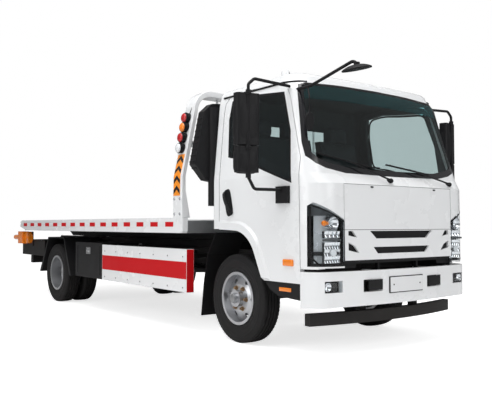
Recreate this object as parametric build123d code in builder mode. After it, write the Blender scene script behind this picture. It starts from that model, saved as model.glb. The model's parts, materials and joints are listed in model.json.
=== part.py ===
from build123d import *
import os
from math import atan2, cos, degrees, hypot, radians, sin, sqrt


os.makedirs("parts", exist_ok=True)

# Flatbed tow truck with a tilting cab and a sliding, tilting bed.
# The front of the truck looks along -Y and its right side is at -X.
# Heights are counted from a level just above the ground, which each saved piece is raised by,
# and places along the truck are counted from the front axle,
# positive to the rear. All lengths are in millimetres.

# Whole truck
wheelbase = 4175
front_reach = 1500
rear_overhang = 1775
rear_reach = wheelbase + rear_overhang
front_axle_y = (front_reach - rear_reach) / 2
overrun = 400
seam = 4
seat_gap = 0.3
moving_gap = 6

# Tyres and wheels
tyre_radius = 408
axle_height = 386
tyre_width = 211
tyre_bead_radius = 225
rim_flange_radius = 242
rim_flange_thickness = 9
rim_width = 168
rim_wall = 9
front_track = 1680
rear_track = 1650
twin_spacing = 254
disc_thickness = 11
disc_flat_radius = 128
disc_depth = 52
front_disc_face = 66
rear_disc_face = 112
hand_hole_radius = 22
hand_hole_circle = 172
hand_holes = 6
hub_radius = 76
hub_reach = 52
hub_cap_radius = 46
hub_cap_reach = 26
drum_radius = 160
drum_length = 70
spindle_radius = 30

# Chassis frame
rail_outer = 375
rail_width = 65
rail_bottom = 620
rail_top = 800
rail_front = -1000
rail_overhang = 1565
rail_rear = wheelbase + rail_overhang
rail_web = 8
cross_depth = 60
cross_drop = 110
cross_places_share = [0.012, 0.36, 0.9, 0.992]
low_cross_share = 0.665
low_cross_height = 40

# Front axle, knuckles and steering
kingpin_x = 715
kingpin_radius = 18
axle_eye_radius = 38
axle_eye_height = 80
axle_beam_depth = 76
axle_beam_height = 62
knuckle_ear = 38
knuckle_ear_radius = 36
knuckle_gap = 1
knuckle_block = 96

# Springs
spring_width = 62
spring_thickness = 38
front_spring_half = 560
rear_spring_half = 640
spring_rise = 84
hanger_length = 90

# Rear axle and drive line
axle_tube_radius = 58
differential_radius = 165
differential_width = 210
propshaft_radius = 42
propshaft_front_height = 560

# Engine and gearbox
engine_front = -400
engine_rear = 430
engine_width = 540
engine_bottom = 470
engine_top = 930
engine_lug = 70
gearbox_rear = 1120
gearbox_width = 320
gearbox_height = 300

# Tank and silencer
tank_front = 980
tank_length = 900
tank_reach = 540
tank_bottom = 410
tank_top = 700
silencer_front = 1620
silencer_length = 700
silencer_radius = 115
silencer_x = 640
silencer_height = 560

# Side guards with their stripe, and the toolboxes behind them
guard_outer = 1100
guard_thickness = 24
guard_front = 608
guard_bottom = 395
guard_top = 821
stripe_bottom = 528
stripe_top = 692
stripe_thickness = 1.5
stripe_return = 60
guard_arm = 44
guard_arm_bottom = 722
guard_arm_places_share = [0.12, 0.5, 0.88]
toolbox_length = 822
toolbox_gap = 195
toolbox_bottom = 410
toolbox_top = 836
toolbox_depth = 480
toolbox_wall = 16
lid_thickness = 22
lid_margin = 26
lid_hinge_radius = 7

# Rear mudguards
fender_reach_front = 608
fender_reach_front_top = 346
fender_reach_rear_top = 246
fender_reach_rear = 580
fender_outer = 1082
fender_inner = 560
fender_top = 888
fender_bottom = 380
fender_thickness = 14
fender_stay = 60
fender_stay_reach = 700

# Sheets behind the front wheels
liner_front = 300
liner_rear = 548
liner_bottom = 172
liner_top = 985
liner_thickness = 8
liner_inner = 600
liner_outer = 965
liner_stay = 40
liner_outline_share = [(1.0, 0.0), (0.80, 0.42), (0.55, 0.74), (0.0, 1.0)]

# Tail frame, rear lamps and rear under-run guard
tail_outer = 1000
tail_plate = 40
tail_bottom = 593
tail_top = 827
tail_plate_start = 615
tail_depth = 50
tail_lamp_start = 495
tail_front = wheelbase + tail_plate_start
tail_rear = rail_rear + tail_depth
tail_lamp_front = tail_front + tail_lamp_start
round_lamp_radius = 92
round_lamp_depth = 70
box_lamp_length = 215
box_lamp_width = 100
box_lamp_bottom = 768
box_lamp_top = 958
lamp_bracket = 12
end_lamp_radius = 38
underrun_height = 120
underrun_depth = 105
underrun_top = 575
underrun_half = 880
underrun_arm = 60

# Front bumper with fog lamps, and the front under-run beam
bumper_bottom = 400
bumper_top = 684
bumper_nose = 1182
bumper_half = 1008
bumper_side_end = 950
bumper_corner_x = 820
bumper_corner_y = 1122
bumper_wall = 46
bumper_arm_width = 44
fog_x = 806
fog_width = 176
fog_height = 92
fog_middle = 564
hook_x = 398
hook_width = 212
hook_height = 100
hook_middle = 560
beam_half = 905
beam_bottom = 240
beam_top = 340
beam_nose = 1060
beam_end = 948
beam_depth = 60
beam_arm_width = 60

# Cab shell
cab_half = 1000
cab_rear = 310
cab_nose = 1150
cab_bottom = 586
cab_back_bottom = 1020
cab_cowl = 1475
cab_header = 2200
cab_top = 2365
cab_wall = 46
cab_skin = 20
roof_round_height = 80
roof_round_width = 150
roof_steps = 4
back_corner_radius = 42
roof_seam = 2192

# Door
door_front = -938
door_gap = 6
door_hinge_y = -905
tilt_relief_top = 742
frame_relief_y = -1072
frame_relief_top = 714
arch_radius = 330
flare_width = 88
flare_height = 22
flare_slope = 45
door_length = 1128
door_height = 1690
door_angle = 70

# Front panel, grille and headlamps
cab_front_bottom = 705
panel_half = 696
panel_seam_x = 700
panel_top = 1392
panel_bottom = 1016
grille_bottom = 770
lamp_bottom = 730
lamp_outer_x = 975
lamp_inner_x = 697
lamp_inner_top = 1094
lamp_outer_top = 1232
lamp_rear = -955
lamp_round = 24
lamp_gap = 4

# Glass
rear_window_middle = 1840
rear_window_width = 1250
rear_window_height = 440
rear_window_round = 60
glass_thickness = 6
glass_inset = 5

# Steps
step_front = -926
step_rear = -479
step_bottom = 451
step_depth = 260
step_inset = 12
step_hanger = 40
step_outline_share = [(0.0, 0.0), (0.60, 0.12), (0.85, 0.48), (1.0, 1.0), (0.0, 1.0)]

# Cab floor, tilt pivot and rear rest
floor_thickness = 30
floor_front_level = 812
floor_rear_level = 1000
floor_step_y = -500
floor_step_run = 70
cab_pivot_y = -1092
cab_pivot_height = 660
cab_pivot_radius = 14
cab_pivot_x = 250
cab_lug = 26
cab_lug_round = 22
cab_ear = 16
rest_y = 232
rest_depth = 60
rest_half = 500
rest_height = 40

# Seats, dashboard and steering wheel
seat_x = 430
bench_x = 390
dash_lip = 60
spoke_angles = [-20, 90, 200]
seat_width = 500
bench_width = 860
seat_depth = 470
seat_front = -420
seat_bottom = 1120
seat_top = 1300
seat_base_margin = 50
back_height = 620
back_thickness = 120
back_lean_share = 0.16
headrest_height = 150
headrest_width = 250
dash_rear = -640
dash_bottom = 1130
dash_top = 1440
steering_x = 400
steering_radius = 205
steering_ring = 15
steering_y = -560
steering_height = 1430
steering_lean = 62

# Mirrors
mirror_x = 1335
mirror_depth = 90
mirror_arm_radius = 13
mirror_arm_round = 40
mirror_arm_bend = 60
mirror_arm_rise = 26
mirror_foot_y = -745
mirror_pole_y = -700
mirror_high = 2190
mirror_low = 1440
mirror_offset = 5
mirror_turn = 12
mirror_foot_depth = 30
mirror_foot_length = 150
mirror_foot_height = 110
upper_foot_x = 935
upper_foot_z = 2215
lower_foot_z = 1345
mirror_heads = [  # (bottom, top, width) of each head
    (1700, 2120, 210),
    (1480, 1690, 200),
]
dome_radius = 117
dome_height = 40
dome_x = 805
dome_level = 2250
dome_lean = 12
dome_boss_radius = 24
dome_boss_height = 18
dome_arm_rise = 46
dome_arm_x = 900
dome_arm_y = -965
dome_arm_z = 2185
dome_foot_y = -720
corner_mirror_x = 947
corner_mirror_y = -1000
corner_mirror_z = 1889
corner_mirror_width = 76
corner_mirror_height = 145
corner_mirror_depth = 24
corner_rod_y = -930
corner_rod_bend = 100
corner_rod_radius = 6
corner_rod_round = 25

# Roof beacon and wipers
beacon_x = 780
beacon_y = -510
beacon_radius = 36
beacon_height = 56
beacon_round_share = 0.8
wiper_width = 16

# Air intake behind the cab
intake_depth = 100
intake_low = 1464
intake_high = 2240
intake_pipe_x = 955
intake_bracket_x = 780
intake_bracket_height = 40
intake_bracket_levels = [1330, 1900]
intake_pipe_radius = 50
intake_pipe_low = 1240
intake_pipe_high = 2190
intake_outline_share = [(0.85, 1.0), (0.97, 0.985), (1.06, 0.88), (1.165, 0.22), (1.035, 0.03), (0.85, 0.0)]

# Bed: tilting frame, deck, head guard
tilt_inset = 50
tilt_y = rail_rear - tilt_inset
tilt_height = 856
tilt_angle = 18
slide_travel = 3000
tilt_rail_inner = 300
tilt_rail_outer = 368
tilt_rail_top = 888
tilt_rail_front = 760
tilt_lift = 6
tilt_nose = 60
tilt_pin_radius = 18
rod_ear_run = 80
tilt_member_places_share = [0.0, 0.13, 0.26, 0.385, 0.507, 0.617, 0.7545, 0.862, 0.957]
slide_foot = 30
slide_barrel_length = 3300
deck_beam_top = 976
deck_half = 1150
deck_front = 605
deck_tail_inset = 260
deck_rear = rail_rear - deck_tail_inset
deck_top = 1130
deck_plate_thickness = 12
deck_sill = 20
deck_rail_bottom = 978
deck_rail_width = 60
deck_rail_outline_share = [(0.0, 0.14), (0.005, 0.0), (0.94, 0.0), (1.0, 0.38), (0.985, 1.0), (0.0, 1.0)]
deck_beam_slant = 160
deck_rib_width = 60
tie_hole_inset = 110
tie_hole_front = 2600
tie_hole_spacing = 1800
tie_hole_radius = 20
deck_ribs = 9
deck_front_beam = 40
post_front = 620
post_depth = 170
post_thickness = 46
post_base_thickness = 98
post_knee = 1540
post_gusset_top = 1400
post_top_x = 1009
post_top = 2200
post_round = 200
post_edge_round = 8
guard_bend_steps = 8
guard_beam_top = 2412
guard_beam_height = 62
guard_bar_level = 1840
guard_bar_height = 60
guard_bar_depth = 40
guard_uprights = 5
guard_lamp_levels = [1819, 1924, 2029, 2126]
marker_lamp_radius = 50
marker_lamp_depth = 44

# Winch
winch_y = 900
winch_half = 230
winch_drum_radius = 62
winch_flange_radius = 100
winch_plate = 14
winch_base = 12

# Tilt cylinders and slide cylinder
cylinder_x = 175
barrel_radius = 44
barrel_length = 1380
barrel_wall = 8
rod_radius = 22
barrel_base_lead = 3360
barrel_base_y = tilt_y - barrel_base_lead
barrel_base_height = 560
rod_eye_lead = 1290
rod_eye_y = tilt_y - rod_eye_lead
rod_ear_member = rod_eye_y + rod_ear_run
bracket_reach = 80
rod_eye_height = 846
eye_radius = 40
eye_width = 44
eye_pin_radius = 11
rod_eye_radius = 42
rod_eye_play = 20
neck_length = 8
ear_gap = 3
ear_plate = 10
slide_barrel_radius = 38
slide_rod_radius = 20
slide_hanger_ribs = [1, 5]
slide_level = 936


# Planes at the front axle, so that sketches use places counted from it

def side_plane(x):
    return Plane(origin=(x, front_axle_y, 0), x_dir=(0, 1, 0), z_dir=(1, 0, 0))


def cross_plane(y):
    return Plane(origin=(0, front_axle_y + y, 0), x_dir=(1, 0, 0), z_dir=(0, -1, 0))


def level_plane(z):
    return Plane(origin=(0, front_axle_y, z), x_dir=(1, 0, 0), z_dir=(0, 0, 1))


# Extrusions of an outline between two places: across, along or up the truck

def outline_face(plane, outline):
    with BuildSketch(plane) as sketch:
        with BuildLine():
            Polyline(*outline, close=True)
        make_face()
    return sketch.sketch


def across(outline, x0, x1, mode=Mode.ADD):
    face = outline_face(side_plane(min(x0, x1)), outline)
    extrude(face, amount=abs(x1 - x0), dir=(1, 0, 0), mode=mode)


def along(outline, y0, y1, mode=Mode.ADD):
    face = outline_face(cross_plane(max(y0, y1)), outline)
    extrude(face, amount=abs(y1 - y0), dir=(0, -1, 0), mode=mode)


def upward(outline, z0, z1, mode=Mode.ADD):
    face = outline_face(level_plane(min(z0, z1)), outline)
    extrude(face, amount=abs(z1 - z0), dir=(0, 0, 1), mode=mode)


def block(x0, x1, y0, y1, z0, z1, mode=Mode.ADD):
    upward([(x0, y0), (x1, y0), (x1, y1), (x0, y1)], z0, z1, mode)


def turned(outline, y, z, mode=Mode.ADD):
    """Turns an outline of (place across the truck, radius) about the cross axis at (y, z)."""
    plane = Plane(origin=(0, front_axle_y + y, z), x_dir=(1, 0, 0), z_dir=(0, -1, 0))
    face = outline_face(plane, outline)
    revolve(face, axis=Axis((0, front_axle_y + y, z), (1, 0, 0)), mode=mode)


def cross_rod(x0, x1, y, z, radius, mode=Mode.ADD):
    plane = Plane(origin=(min(x0, x1), front_axle_y + y, z), x_dir=(0, 1, 0), z_dir=(1, 0, 0))
    with BuildSketch(plane) as sketch:
        Circle(radius)
    extrude(sketch.sketch, amount=abs(x1 - x0), dir=(1, 0, 0), mode=mode)


def upright_rod(x, y, z0, z1, radius, mode=Mode.ADD):
    with BuildSketch(level_plane(min(z0, z1))) as sketch:
        with Locations((x, y)):
            Circle(radius)
    extrude(sketch.sketch, amount=abs(z1 - z0), dir=(0, 0, 1), mode=mode)


def rod_between(start, end, radius, mode=Mode.ADD):
    """A round rod between two places, each given as (across, along, up)."""
    first = Vector(start[0], front_axle_y + start[1], start[2])
    run = Vector(*[b - a for a, b in zip(start, end)])
    with BuildSketch(Plane(origin=first, z_dir=run)) as sketch:
        Circle(radius)
    extrude(sketch.sketch, amount=run.length, dir=run, mode=mode)


def keep(builder, name):
    """Saves a piece, raised so that the tyres stand on the ground."""
    placed_part = builder.part.moved(Location((0, 0, tyre_radius - axle_height)))
    placed_part.label = name
    export_step(placed_part, "parts/" + name + ".step")


def spread(share, low, high):
    return low + share * (high - low)


def placed(outline_share, y0, y1, z0, z1):
    """An outline of shares laid over the box from (y0, z0) to (y1, z1)."""
    return [(spread(a, y0, y1), spread(b, z0, z1)) for a, b in outline_share]


def moved_outwards(outline, distance):
    with BuildSketch(Plane.XY) as sketch:
        with BuildLine():
            Polyline(*outline, close=True)
        make_face()
        offset(amount=distance, kind=Kind.INTERSECTION)
    vertices = sketch.sketch.faces()[0].outer_wire().order_edges()
    return [(edge.position_at(0).X, edge.position_at(0).Y) for edge in vertices]


sides = [("right", -1), ("left", 1)]


# Wheels: one shape of disc wheel, with its disc set outwards at the front and inwards at the rear

tyre_outline_share = [  # (half width, height of the section above the rim's flange)
    (0.93, 0.03),
    (1.0, 0.36),
    (0.96, 0.70),
    (0.845, 0.93),
    (0.60, 0.99),
    (0.0, 1.0),
]


def tyre(x, y):
    foot = rim_flange_radius + seat_gap
    half = [(rim_width / 2, tyre_bead_radius), (rim_width / 2, foot)]
    half += [(a * tyre_width / 2, spread(b, foot, tyre_radius)) for a, b in tyre_outline_share]
    other = [(-a, r) for a, r in reversed(half[:-1])]
    turned([(x + a, r) for a, r in half + other], y, axle_height)


def rim(side, x, y, face):
    """A rim at x with its disc's outer face at the given distance outboard of the tyre's middle."""
    seat = tyre_bead_radius - seat_gap
    inside = seat - rim_wall
    half = rim_width / 2 + seat_gap
    flange = half + rim_flange_thickness
    turned(
        [
            (x - flange, inside),
            (x - flange, rim_flange_radius),
            (x - half, rim_flange_radius),
            (x - half, seat),
            (x + half, seat),
            (x + half, rim_flange_radius),
            (x + flange, rim_flange_radius),
            (x + flange, inside),
        ],
        y,
        axle_height,
    )
    flat = x + side * face
    back = flat - side * disc_thickness
    turned(
        [
            (flat, 0),
            (flat, disc_flat_radius),
            (flat - side * disc_depth, inside + rim_wall / 2),
            (back - side * disc_depth, inside + rim_wall / 2),
            (back, disc_flat_radius),
            (back, 0),
        ],
        y,
        axle_height,
    )
    plane = Plane(origin=(x, front_axle_y + y, axle_height), x_dir=(0, 1, 0), z_dir=(1, 0, 0))
    with BuildSketch(plane) as holes:
        with PolarLocations(hand_hole_circle, hand_holes):
            Circle(hand_hole_radius)
    extrude(holes.sketch, amount=tyre_width, both=True, mode=Mode.SUBTRACT)


for side_name, side in sides:
    x = side * front_track / 2
    with BuildPart() as front_tyre:
        tyre(x, 0)
    keep(front_tyre, "front_tyre_" + side_name)

    with BuildPart() as front_wheel:
        rim(side, x, 0, front_disc_face)
        face_x = x + side * front_disc_face
        back_x = face_x - side * (disc_depth + disc_thickness)
        cross_rod(back_x, face_x + side * hub_reach, 0, axle_height, hub_radius)
        cross_rod(face_x, face_x + side * (hub_reach + hub_cap_reach), 0, axle_height, hub_cap_radius)
        cross_rod(back_x, back_x - side * drum_length, 0, axle_height, drum_radius)
        cross_rod(
            back_x - side * drum_length,
            face_x,
            0,
            axle_height,
            spindle_radius + seat_gap,
            mode=Mode.SUBTRACT,
        )
    keep(front_wheel, "front_wheel_" + side_name)

    # The knuckle turns on the kingpin, its two ears over and under the eye of the axle beam
    eye_top = axle_height + axle_eye_height / 2
    eye_bottom = axle_height - axle_eye_height / 2
    pin_x = side * kingpin_x
    drum_x = back_x - side * drum_length
    with BuildPart() as knuckle:
        upright_rod(pin_x, 0, eye_top + knuckle_gap, eye_top + knuckle_gap + knuckle_ear, knuckle_ear_radius)
        upright_rod(pin_x, 0, eye_bottom - knuckle_gap, eye_bottom - knuckle_gap - knuckle_ear, knuckle_ear_radius)
        upright_rod(pin_x, 0, eye_bottom - knuckle_gap, eye_top + knuckle_gap, kingpin_radius)
        cross_rod(drum_x - side * seat_gap, face_x - side * seat_gap, 0, axle_height, spindle_radius)
        block(
            pin_x + side * (axle_eye_radius + knuckle_gap),
            drum_x - side * seat_gap,
            -knuckle_block / 2,
            knuckle_block / 2,
            eye_bottom - knuckle_gap - knuckle_ear,
            eye_top + knuckle_gap + knuckle_ear,
        )
        for low in (eye_top + knuckle_gap, eye_bottom - knuckle_gap - knuckle_ear):
            block(
                pin_x,
                pin_x + side * (axle_eye_radius + knuckle_gap),
                -knuckle_ear_radius,
                knuckle_ear_radius,
                low,
                low + knuckle_ear,
            )
    keep(knuckle, "knuckle_" + side_name)

    outer_x = side * (rear_track + twin_spacing) / 2
    inner_x = side * (rear_track - twin_spacing) / 2
    with BuildPart() as rear_tyres:
        tyre(outer_x, wheelbase)
        tyre(inner_x, wheelbase)
    keep(rear_tyres, "rear_tyres_" + side_name)

    # Twin rims meet disc to disc at the middle of the pair, on one hub
    with BuildPart() as rear_wheels:
        rim(-side, outer_x, wheelbase, twin_spacing / 2 - disc_thickness)
        rim(side, inner_x, wheelbase, twin_spacing / 2)
        middle_x = side * rear_track / 2
        hub_back = middle_x - side * drum_length
        cross_rod(hub_back, middle_x + side * hub_reach * 2, wheelbase, axle_height, hub_radius)
        cross_rod(
            middle_x + side * hub_reach * 2,
            middle_x + side * (hub_reach * 2 + hub_cap_reach),
            wheelbase,
            axle_height,
            hub_cap_radius,
        )
        cross_rod(hub_back, hub_back - side * drum_length, wheelbase, axle_height, drum_radius)
        cross_rod(
            hub_back - side * drum_length,
            middle_x + side * hub_reach,
            wheelbase,
            axle_height,
            spindle_radius + seat_gap,
            mode=Mode.SUBTRACT,
        )
    keep(rear_wheels, "rear_wheels_" + side_name)


# Chassis frame: two channel rails and the members between them

def rail_place(share):
    return spread(share, rail_front, rail_rear)


with BuildPart() as rails:
    for side_name, side in sides:
        block(
            side * rail_outer,
            side * (rail_outer - rail_width),
            rail_front,
            rail_rear,
            rail_bottom,
            rail_top,
        )
        block(
            side * (rail_outer - rail_web),
            side * (rail_outer - rail_width),
            rail_front,
            rail_rear,
            rail_bottom + rail_web,
            rail_top - rail_web,
            mode=Mode.SUBTRACT,
        )
keep(rails, "frame_rails")

rail_inner = rail_outer - rail_width
cross_half = rail_outer - rail_web
guard_inner = guard_outer - guard_thickness
toolbox_inner = guard_outer - toolbox_depth
toolbox_rear = wheelbase - fender_reach_front - toolbox_gap
toolbox_front = toolbox_rear - toolbox_length
guard_rear = toolbox_front - seam
with BuildPart() as crossmembers:
    bracket_y = barrel_base_y - bracket_reach
    for middle in [bracket_y] + [rail_place(share) for share in cross_places_share]:
        block(
            -cross_half,
            cross_half,
            middle - cross_depth / 2,
            middle + cross_depth / 2,
            rail_top - rail_web - cross_drop,
            rail_top - rail_web,
        )
    for side_name, side in sides:
        for share in guard_arm_places_share:
            y = spread(share, guard_front, guard_rear)
            block(
                side * rail_outer,
                side * guard_inner,
                y - guard_arm / 2,
                y + guard_arm / 2,
                guard_arm_bottom,
                guard_arm_bottom + guard_arm,
            )
        for share in (guard_arm_places_share[0], guard_arm_places_share[-1]):
            y = spread(share, toolbox_front, toolbox_rear)
            block(
                side * rail_outer,
                side * toolbox_inner,
                y - guard_arm / 2,
                y + guard_arm / 2,
                guard_arm_bottom,
                guard_arm_bottom + guard_arm,
            )
    block(
        -cross_half,
        cross_half,
        rail_place(low_cross_share) - cross_depth / 2,
        rail_place(low_cross_share) + cross_depth / 2,
        rail_bottom + rail_web,
        rail_bottom + rail_web + low_cross_height,
    )
    bracket_top = rail_top - rail_web - cross_drop
    for side_name, side in sides:
        for plate_x in (cylinder_x - eye_width / 2 - ear_gap, cylinder_x + eye_width / 2 + ear_gap):
            outer_x = plate_x + (ear_plate if plate_x > cylinder_x else -ear_plate)
            across(
                [
                    (bracket_y - cross_depth / 2, bracket_top + rail_web),
                    (bracket_y - cross_depth / 2, bracket_top - cross_drop / 2),
                    (barrel_base_y - eye_radius / 2, barrel_base_height - eye_radius * 0.7),
                    (barrel_base_y + eye_radius / 2, barrel_base_height - eye_radius * 0.7),
                    (barrel_base_y + eye_radius * 0.7, barrel_base_height),
                    (barrel_base_y + eye_radius / 4, barrel_base_height + eye_radius * 0.7),
                    (bracket_y + cross_depth / 2, bracket_top),
                    (bracket_y + cross_depth / 2, bracket_top + rail_web),
                ],
                side * plate_x,
                side * outer_x,
            )
        cross_rod(
            side * (cylinder_x - eye_width / 2 - ear_gap - ear_plate),
            side * (cylinder_x + eye_width / 2 + ear_gap + ear_plate),
            barrel_base_y,
            barrel_base_height,
            eye_pin_radius,
        )
        across(
            [
                (tilt_y - tilt_nose * 2, rail_top - rail_width),
                (rail_rear - seat_gap, rail_top - rail_width),
                (rail_rear - seat_gap, rail_top),
                (tilt_y + tilt_pin_radius * 2, tilt_height + tilt_pin_radius),
                (tilt_y, tilt_height + tilt_pin_radius * 2),
                (tilt_y - tilt_pin_radius * 2, tilt_height + tilt_pin_radius),
                (tilt_y - tilt_nose * 2, rail_top),
            ],
            side * rail_outer,
            side * (rail_outer + ear_plate * 2),
        )
        cross_rod(
            side * (tilt_rail_inner - tilt_pin_radius),
            side * (rail_outer + ear_plate * 2),
            tilt_y,
            tilt_height,
            tilt_pin_radius,
        )
keep(crossmembers, "frame_members")

# Engine with its gearbox as one plain block, hung between the rails by four lugs
with BuildPart() as engine:
    block(-engine_width / 2, engine_width / 2, engine_front, engine_rear, engine_bottom, engine_top)
    for y in (engine_front, engine_rear - engine_lug):
        block(-cross_half, cross_half, y, y + engine_lug, rail_bottom + rail_web, rail_bottom + engine_lug)
    gearbox_bottom = propshaft_front_height - gearbox_height / 2
    block(
        -gearbox_width / 2,
        gearbox_width / 2,
        engine_rear,
        gearbox_rear,
        gearbox_bottom,
        gearbox_bottom + gearbox_height,
    )
keep(engine, "engine_and_gearbox")

# Front axle beam with an eye at each end for the kingpin
beam_low = axle_height - axle_beam_height / 2
with BuildPart() as front_axle:
    block(
        -kingpin_x,
        kingpin_x,
        -axle_beam_depth / 2,
        axle_beam_depth / 2,
        beam_low,
        beam_low + axle_beam_height,
    )
    for side_name, side in sides:
        upright_rod(
            side * kingpin_x,
            0,
            axle_height - axle_eye_height / 2,
            axle_height + axle_eye_height / 2,
            axle_eye_radius,
        )
    for side_name, side in sides:
        upright_rod(
            side * kingpin_x,
            0,
            beam_low - overrun,
            beam_low + overrun,
            kingpin_radius + seat_gap,
            mode=Mode.SUBTRACT,
        )
keep(front_axle, "front_axle")

# Rear axle: a tube, the differential housing and the spindle ends in the hubs
spindle_end = rear_track / 2 + hub_reach - seat_gap
tube_end = rear_track / 2 - 2 * drum_length - seat_gap
propshaft_slope = (propshaft_front_height - axle_height) / (wheelbase - gearbox_rear)
propshaft_gap = seat_gap + propshaft_slope * propshaft_radius
with BuildPart() as rear_axle:
    cross_rod(-tube_end, tube_end, wheelbase, axle_height, axle_tube_radius)
    cross_rod(-spindle_end, spindle_end, wheelbase, axle_height, spindle_radius)
    cross_rod(-differential_width / 2, differential_width / 2, wheelbase, axle_height, differential_radius)
    rod_between(
        (0, gearbox_rear + propshaft_gap, propshaft_front_height),
        (0, wheelbase, axle_height),
        propshaft_radius,
    )
keep(rear_axle, "rear_axle_and_propshaft")


# Leaf springs: a bowed pack seated on the axle, hung from the rails by a hanger at each end

def leaf_springs(middle, half, seat):
    spring_x = rail_outer - rail_width / 2
    for side_name, side in sides:
        near = side * (spring_x - spring_width / 2)
        far = side * (spring_x + spring_width / 2)
        top = seat + spring_thickness
        eye = rail_bottom - spring_thickness
        outline = [
            (middle - half, eye - spring_thickness / 2),
            (middle - half / 2, seat + (eye - seat) / 4),
            (middle - half / 6, seat),
            (middle + half / 6, seat),
            (middle + half / 2, seat + (eye - seat) / 4),
            (middle + half, eye - spring_thickness / 2),
            (middle + half, eye),
            (middle + half / 2, top + (eye - seat) / 4),
            (middle + half / 6, top),
            (middle - half / 6, top),
            (middle - half / 2, top + (eye - seat) / 4),
            (middle - half, eye),
        ]
        across(outline, near, far)
        for end in (-1, 1):
            tip = middle + end * half
            block(
                near,
                far,
                tip - hanger_length / 2,
                tip + hanger_length / 2,
                eye - spring_thickness,
                rail_bottom,
            )


with BuildPart() as springs:
    leaf_springs(0, front_spring_half, beam_low + axle_beam_height)
    leaf_springs(wheelbase, rear_spring_half, axle_height + axle_tube_radius)
keep(springs, "leaf_springs")

# Fuel tank on the left rail, silencer on the right rail
with BuildPart() as fuel_tank:
    block(rail_outer, rail_outer + tank_reach, tank_front, tank_front + tank_length, tank_bottom, tank_top)
    fillet(fuel_tank.edges().filter_by(Axis.Y), radius=rail_web * 4)
keep(fuel_tank, "fuel_tank")

with BuildPart() as silencer:
    rod_between(
        (-silencer_x, silencer_front, silencer_height),
        (-silencer_x, silencer_front + silencer_length, silencer_height),
        silencer_radius,
    )
    for y in (silencer_front + silencer_radius, silencer_front + silencer_length - silencer_radius):
        block(-silencer_x, -rail_outer, y, y + guard_arm, rail_bottom + rail_web, rail_bottom + 2 * guard_arm)
keep(silencer, "silencer")

# Side guards with a stripe, on arms from the rails, and a toolbox behind each
lid_face = guard_outer - lid_thickness
lid_hinge_z = toolbox_bottom - lid_hinge_radius

with BuildPart() as guards:
    for side_name, side in sides:
        block(side * guard_inner, side * guard_outer, guard_front, guard_rear, guard_bottom, guard_top)
    fillet(guards.edges().filter_by(Axis.Y), radius=guard_thickness / 4)
    for side_name, side in sides:
        block(
            side * (guard_inner - stripe_return),
            side * guard_inner,
            guard_front,
            guard_front + guard_thickness,
            guard_bottom,
            guard_top,
        )
keep(guards, "side_guards")

with BuildPart() as toolboxes:
    for side_name, side in sides:
        block(side * toolbox_inner, side * lid_face, toolbox_front, toolbox_rear, toolbox_bottom, toolbox_top)
        block(
            side * (toolbox_inner + toolbox_wall),
            side * lid_face,
            toolbox_front + toolbox_wall,
            toolbox_rear - toolbox_wall,
            toolbox_bottom + toolbox_wall,
            toolbox_top - toolbox_wall,
            mode=Mode.SUBTRACT,
        )
        hinge_x = side * (guard_outer - lid_hinge_radius)
        for y in (toolbox_front, toolbox_rear - lid_margin):
            rod_between((hinge_x, y, lid_hinge_z), (hinge_x, y + lid_margin, lid_hinge_z), lid_hinge_radius)
            rod_between(
                (hinge_x, toolbox_front, lid_hinge_z),
                (hinge_x, toolbox_rear, lid_hinge_z),
                lid_hinge_radius / 2,
            )
            block(
                side * (lid_face - toolbox_wall),
                hinge_x,
                y,
                y + lid_margin,
                toolbox_bottom - 2 * lid_hinge_radius,
                toolbox_bottom,
            )
keep(toolboxes, "toolboxes")

# Each lid turns on the line of the two end lugs under its box
for side_name, side in sides:
    hinge_x = side * (guard_outer - lid_hinge_radius)
    with BuildPart() as lid:
        block(
            side * (lid_face + moving_gap),
            side * guard_outer,
            toolbox_front + seam,
            toolbox_rear - seam,
            toolbox_bottom + moving_gap,
            toolbox_top,
        )
        knuckle_front = toolbox_front + lid_margin + moving_gap
        knuckle_rear = toolbox_rear - lid_margin - moving_gap
        rod_between(
            (hinge_x, knuckle_front, lid_hinge_z),
            (hinge_x, knuckle_rear, lid_hinge_z),
            lid_hinge_radius,
        )
        block(
            side * (guard_outer - 2 * lid_hinge_radius),
            side * guard_outer,
            knuckle_front,
            knuckle_rear,
            lid_hinge_z,
            toolbox_bottom + moving_gap,
        )
        rod_between(
            (hinge_x, knuckle_front - seam, lid_hinge_z),
            (hinge_x, knuckle_rear + seam, lid_hinge_z),
            lid_hinge_radius / 2 + seat_gap,
            mode=Mode.SUBTRACT,
        )
    keep(lid, "toolbox_lid_" + side_name)

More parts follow.
